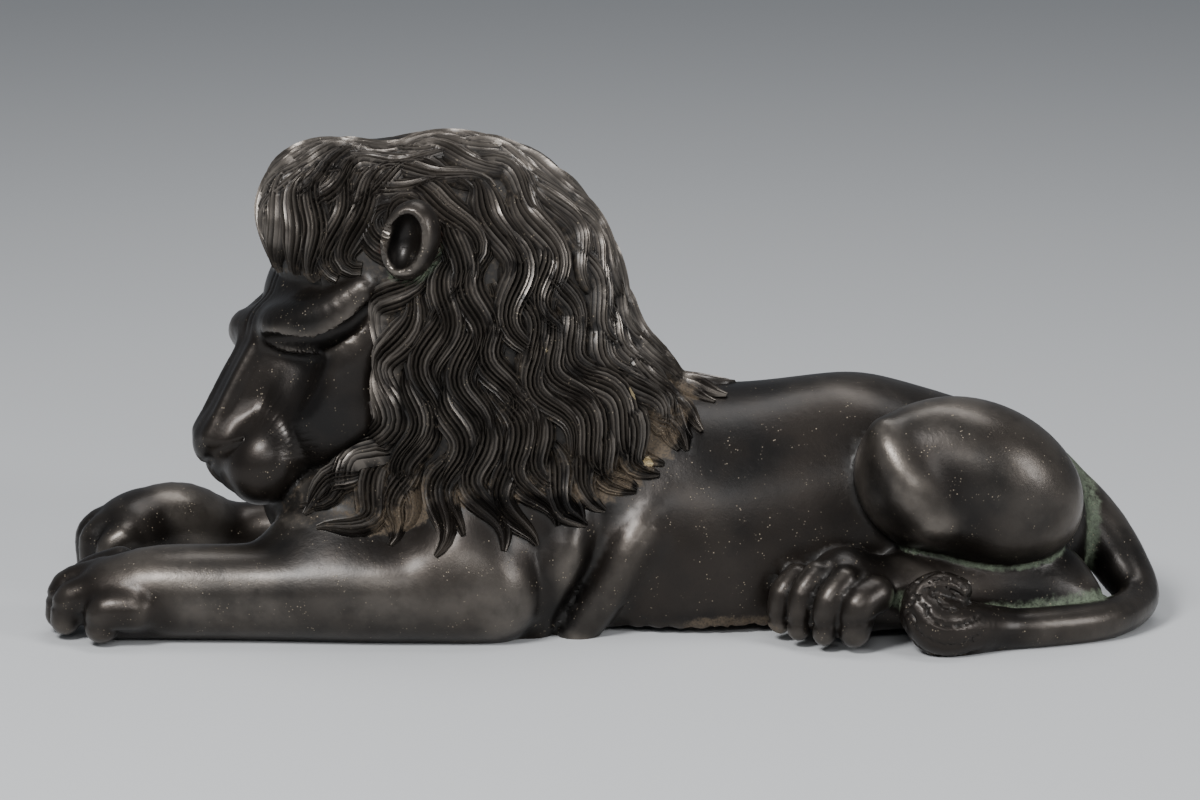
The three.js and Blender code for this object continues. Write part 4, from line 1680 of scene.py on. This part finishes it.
@dataclass
class Lion:
    """The whole lion, one casting."""

    skin_step: float = 3.1
    fine_rounds: int = 3
    split_over: float = 1.6
    most_turn: float = 20.0
    shortest_split: float = 2.1
    sharp_edge: float = 48.0
    ground_block: float = 1.0
    flakes: tuple[Triple, ...] = ((11.2, -34, 79), (14.4, -33, 56), (-19, -40, 95), (46, -38, 65))
    torso: Torso = field(default_factory=Torso)
    hind_legs: HindLegs = field(default_factory=HindLegs)
    forelegs: Forelegs = field(default_factory=Forelegs)
    tail: Tail = field(default_factory=Tail)
    head: Head = field(default_factory=Head)
    finish: OldBronze = field(default_factory=OldBronze)

    def __post_init__(self) -> None:
        """Puts the parts' forms together."""
        self.mane = Mane(self.head)
        self.trunk = self.hind_legs.trunk(self.torso.form())
        legs = Blend(
            2.5,
            self.forelegs.near(),
            self.forelegs.far(),
            self.forelegs.near_paw(),
            self.forelegs.far_paw(),
            self.hind_legs.paw(),
            other_side(self.hind_legs.paw()),
        )
        self.coat = Blend(5, Blend(2.5, self.trunk, legs), self.mane.form())
        ears = self.head.ear(), other_side(self.head.ear())
        self.form = Blend(1.5, self.coat, self.head.form(), *ears, self.tail.form())

    def parts(self) -> tuple:
        """Returns the parts that say how fine the skin is and what is cut into it."""
        return self.torso, self.hind_legs, self.forelegs, self.tail, self.head

    def under_hair(self, p: Points) -> np.ndarray:
        """Returns whether each point is hidden by the mane's locks."""
        on_mane = (self.mane.form().at(p) < 1.2) & (p[:, 2] > self.mane.lower_edge(p) + 4)
        return on_mane & (self.head.form().at(p) > 1) & (self.head.ear().at(p) > 1)

    def skin(self) -> Skin:
        """Lays the skin over the form, and splits it where the modelling is fine.

        Returns:
            The skin, in figure units.
        """
        skin = Skin.over(self.form, (-188, -82, -9), (188, 82, 170), self.skin_step)
        skin.points = self.form.settled(skin.points)
        for _ in range(self.fine_rounds):
            ends, _ = skin.edges()
            span = lengths(skin.points[ends[:, 0]] - skin.points[ends[:, 1]])
            middle = skin.points[ends].mean(axis=1)
            wanted = np.min([part.fineness(middle) for part in self.parts()], axis=0)
            out = self.form.outward(skin.points)
            turn = np.degrees(np.arccos(np.clip(dots(out[ends[:, 0]], out[ends[:, 1]]), -1, 1)))
            bent = (turn > self.most_turn) & (span > self.shortest_split)
            open_to_sight = ~self.under_hair(middle) & (middle[:, 2] > -3)
            chosen = ((span > self.split_over * wanted) | bent) & open_to_sight
            skin = skin.split(chosen)
            skin = skin.relaxed(self.form)
            skin.points = self.form.settled(skin.points, rounds=1)
        depth = np.sum([part.cut(skin.points) for part in self.parts()], axis=0)
        skin.points = skin.points - self.form.outward(skin.points) * depth[:, None]
        log.info("skin: %d triangles", len(skin.faces))
        return skin

    def build(self) -> bpy.types.Object:
        """Builds the lion and dresses it.

        Returns:
            The lion, in the frame's place.
        """
        bronze = self.finish.material()
        body = self.skin().object("body")
        locks = self.mane.locks(self.coat, bronze)
        given = {
            "Near locks": locks[Side.NEAR],
            "Far locks": locks[Side.FAR],
            "Ground": self.ground_block,
            "Finish": bronze,
        }
        lion = grown(body, casting_tree(), given, "bronze_lion")
        for one in locks.values():
            bpy.data.objects.remove(one)
        self.dress(lion.data)
        return lion

    def dress(self, mesh: bpy.types.Mesh) -> None:
        """Smooths the casting, stains it, paints shade into its hollows and highlights on its ridges, and
        puts it in its place in the frame.

        Args:
            mesh: The casting, in figure units turned to metres.
        """
        mesh.calc_loop_triangles()
        points = np.empty(len(mesh.vertices) * 3)
        mesh.vertices.foreach_get("co", points)
        points = points.reshape(-1, 3)
        corners = np.empty(len(mesh.loop_triangles) * 3, np.int32)
        mesh.loop_triangles.foreach_get("vertices", corners)
        skin = Skin(points / MM, corners.reshape(-1, 3).astype(np.int64))
        normals = np.empty(len(points) * 3)
        mesh.vertices.foreach_get("normal", normals)
        for name, values in self.stains_and_painted_light(skin, normals.reshape(-1, 3)).items():
            mesh.attributes.new(name, "FLOAT", "POINT").data.foreach_set("value", values.astype(np.float32))
        low, high = (np.array(corner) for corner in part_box("lion"))
        share = np.minimum(1.0, (high - low) / (points.max(axis=0) - points.min(axis=0)))
        middle = (points.min(axis=0) + points.max(axis=0)) / 2
        points = (points - np.array([middle[0], middle[1], points[:, 2].min()])) * share
        points += np.array([(low[0] + high[0]) / 2, (low[1] + high[1]) / 2, low[2]])
        mesh.vertices.foreach_set("co", points.ravel())
        mesh.shade_smooth()
        mesh.set_sharp_from_angle(angle=math.radians(self.sharp_edge))
        mesh.update()
        log.info("lion: %d triangles", len(mesh.loop_triangles))

    def stains_and_painted_light(self, skin: Skin, normals: Points) -> dict[str, Values]:
        """Works out where the casting is stained or rubbed, and where shade and highlights are painted on
        it.

        Args:
            skin: The casting.
            normals: Each point's way out.

        Returns:
            A grade from 0 to 1 for each point, by name: stains, painted shade, and rubbed wear with painted
            highlight.
        """
        p = skin.points
        pull = skin.neighbours(p) - p
        span = np.maximum(lengths(pull - normals * dots(pull, normals)[:, None]), 0.35)
        bend = dots(pull, normals) / np.maximum(span, 0.5)
        bend = 0.5 * (bend + skin.neighbours(bend))
        broad_bend = bend
        for _ in range(3):
            broad_bend = skin.neighbours(broad_bend)
        above = self.coat.at(p)
        x, y, z = p.T
        near_mane = (self.mane.form().at(p) < 8) & (z > self.mane.lower_edge(p) - 8)
        haired = near_mane & (self.head.form().at(p) > 0.6)
        deep = haired * smooth_step(3.6, 1.2, above)
        tail = self.tail.whip()
        thigh, foot, paw = self.hind_legs.thigh(), self.hind_legs.foot(), self.hind_legs.paw()
        green = 0.55 * meeting(p, thigh, foot, 3) + 0.55 * meeting(p, tail, self.trunk, 6)
        green += 0.6 * meeting(p, paw, self.tail.tuft(), 6)
        green += 0.5 * meeting(p, self.head.ear(), self.mane.form(), 3.5)
        green += 0.12 * haired * deep + 0.4 * meeting(p, self.tail.tuft(), foot, 5)
        at_edge = smooth_step(22, 4, np.abs(z - self.mane.lower_edge(p) - 6))
        tips = haired * at_edge * smooth_step(-92, -60, x)
        rim = smooth_step(9, 3, z) * smooth_step(20, 34, x) * (1 - smooth_step(54, 62, x)) * (y < 0)
        dust = 0.3 * tips * deep + 0.26 * haired * deep + 0.7 * rim + 0.25 * smooth_step(4, 0, z)
        gold = np.max([smooth_step(3.2, 0.6, lengths(p - np.array(f))) for f in self.flakes], axis=0)
        ear = self.head.ear()
        cup = (ear.at(p) < 1) * smooth_step(0.5, -0.5, ear.at(p - np.array([0, 3.0, 0])))
        return {
            # Painted shade, strongest in hollows and under the locks.
            "cavity": np.clip(smooth_step(0.08, 0.5, bend) + 0.75 * deep, 0, 1),
            # Partly rubbed wear, partly painted highlight, on ridges and edges; weaker off the mane.
            "rub": smooth_step(0.04, 0.35, -np.where(haired, bend, 0.6 * broad_bend)),
            "verdigris": np.clip(green, 0, 1),
            "dust": np.clip(dust, 0, 1),
            "gold": gold,
            "red": cup,
        }


# Studio


@dataclass
class Studio:
    """The floor, the camera where the photograph was taken from, and soft light."""

    lens: float = 150.0
    sensor: float = 36.0
    height_degrees: float = 12.0
    picture: tuple[int, int] = (1200, 800)
    middle_px: tuple[float, float] = (605.0, 640.0)  # where the frame's origin is in the picture
    px_mm: float = 0.32
    near_plane: float = -40.0  # where the scale holds, across the lion
    floor_size: float = 12.0

    def camera(self) -> bpy.types.Object:
        """Puts the camera in place.

        Returns:
            The camera.
        """
        wide, tall = self.picture
        tilt = math.radians(self.height_degrees)
        right = (wide / 2 - self.middle_px[0]) * self.px_mm
        up = (self.middle_px[1] - tall / 2) * self.px_mm / math.cos(tilt)
        target = Vector((right, self.near_plane, up)) * MM
        back = Vector((0, -math.cos(tilt), math.sin(tilt)))
        away = wide * self.px_mm * MM * self.lens / self.sensor
        data = bpy.data.cameras.new("camera")
        data.lens = self.lens
        data.sensor_width = self.sensor
        data.clip_start = 0.01
        made = bpy.data.objects.new("camera", data)
        made.location = target + back * away
        made.rotation_euler = (-back).to_track_quat("-Z", "Y").to_euler()
        bpy.context.scene.collection.objects.link(made)
        bpy.context.scene.camera = made
        return made

    def light(
        self, name: str, place: Triple, size: tuple[float, float], watts: float, target: Triple
    ) -> None:
        """Hangs a soft light.

        Args:
            name: What it is called.
            place: Where it hangs, in metres.
            size: Its width and height.
            watts: How strong it is.
            target: What it points at.
        """
        data = bpy.data.lights.new(name, "AREA")
        data.shape = "RECTANGLE"
        data.size, data.size_y = size
        data.energy = watts
        made = bpy.data.objects.new(name, data)
        made.location = place
        made.rotation_euler = (Vector(target) - Vector(place)).to_track_quat("-Z", "Y").to_euler()
        bpy.context.scene.collection.objects.link(made)

    def floor(self) -> bpy.types.Object:
        """Builds the floor.

        Returns:
            The floor.
        """
        half = self.floor_size / 2
        corners = [(-half, -half, 0), (half, -half, 0), (half, half, 0), (-half, half, 0)]
        mesh = bpy.data.meshes.new("floor")
        mesh.from_pydata(corners, [], [(0, 1, 2, 3)])
        mesh.materials.append(PaleFloor().material())
        return linked(mesh, "floor")

    def build(self) -> None:
        """Sets the studio up."""
        self.camera()
        self.floor()
        middle = (0.0, 0.0, 0.06)
        self.light("key", (-0.50, -0.80, 1.00), (0.42, 0.30), 19.0, middle)
        self.light("top", (0.15, 0.20, 1.25), (1.0, 0.35), 6.0, middle)
        self.light("right", (1.05, -0.75, 0.55), (0.3, 0.5), 8.0, middle)
        self.light("front", (0.10, -1.50, 0.85), (0.9, 0.30), 6.0, middle)
        world = bpy.data.worlds.new("studio")
        world.use_nodes = True
        nodes = Nodes(world.node_tree)
        sky = nodes.add("ShaderNodeBackground", None, {"Color": (0.75, 0.80, 0.88, 1.0), "Strength": 0.24})
        nodes.add("ShaderNodeOutputWorld", None, {"Surface": sky})
        bpy.context.scene.world = world


def main() -> None:
    """Builds the studio and the lion, and writes down how large it is."""
    logging.basicConfig(level=logging.INFO, format="%(message)s", stream=sys.stdout)
    Studio().build()
    lion = Lion().build()
    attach(lion, "root")
    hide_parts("lion")
    low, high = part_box("lion")
    log.info("solid's box %s to %s", [round(v, 4) for v in low], [round(v, 4) for v in high])
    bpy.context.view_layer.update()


if __name__ == "__main__":
    main()
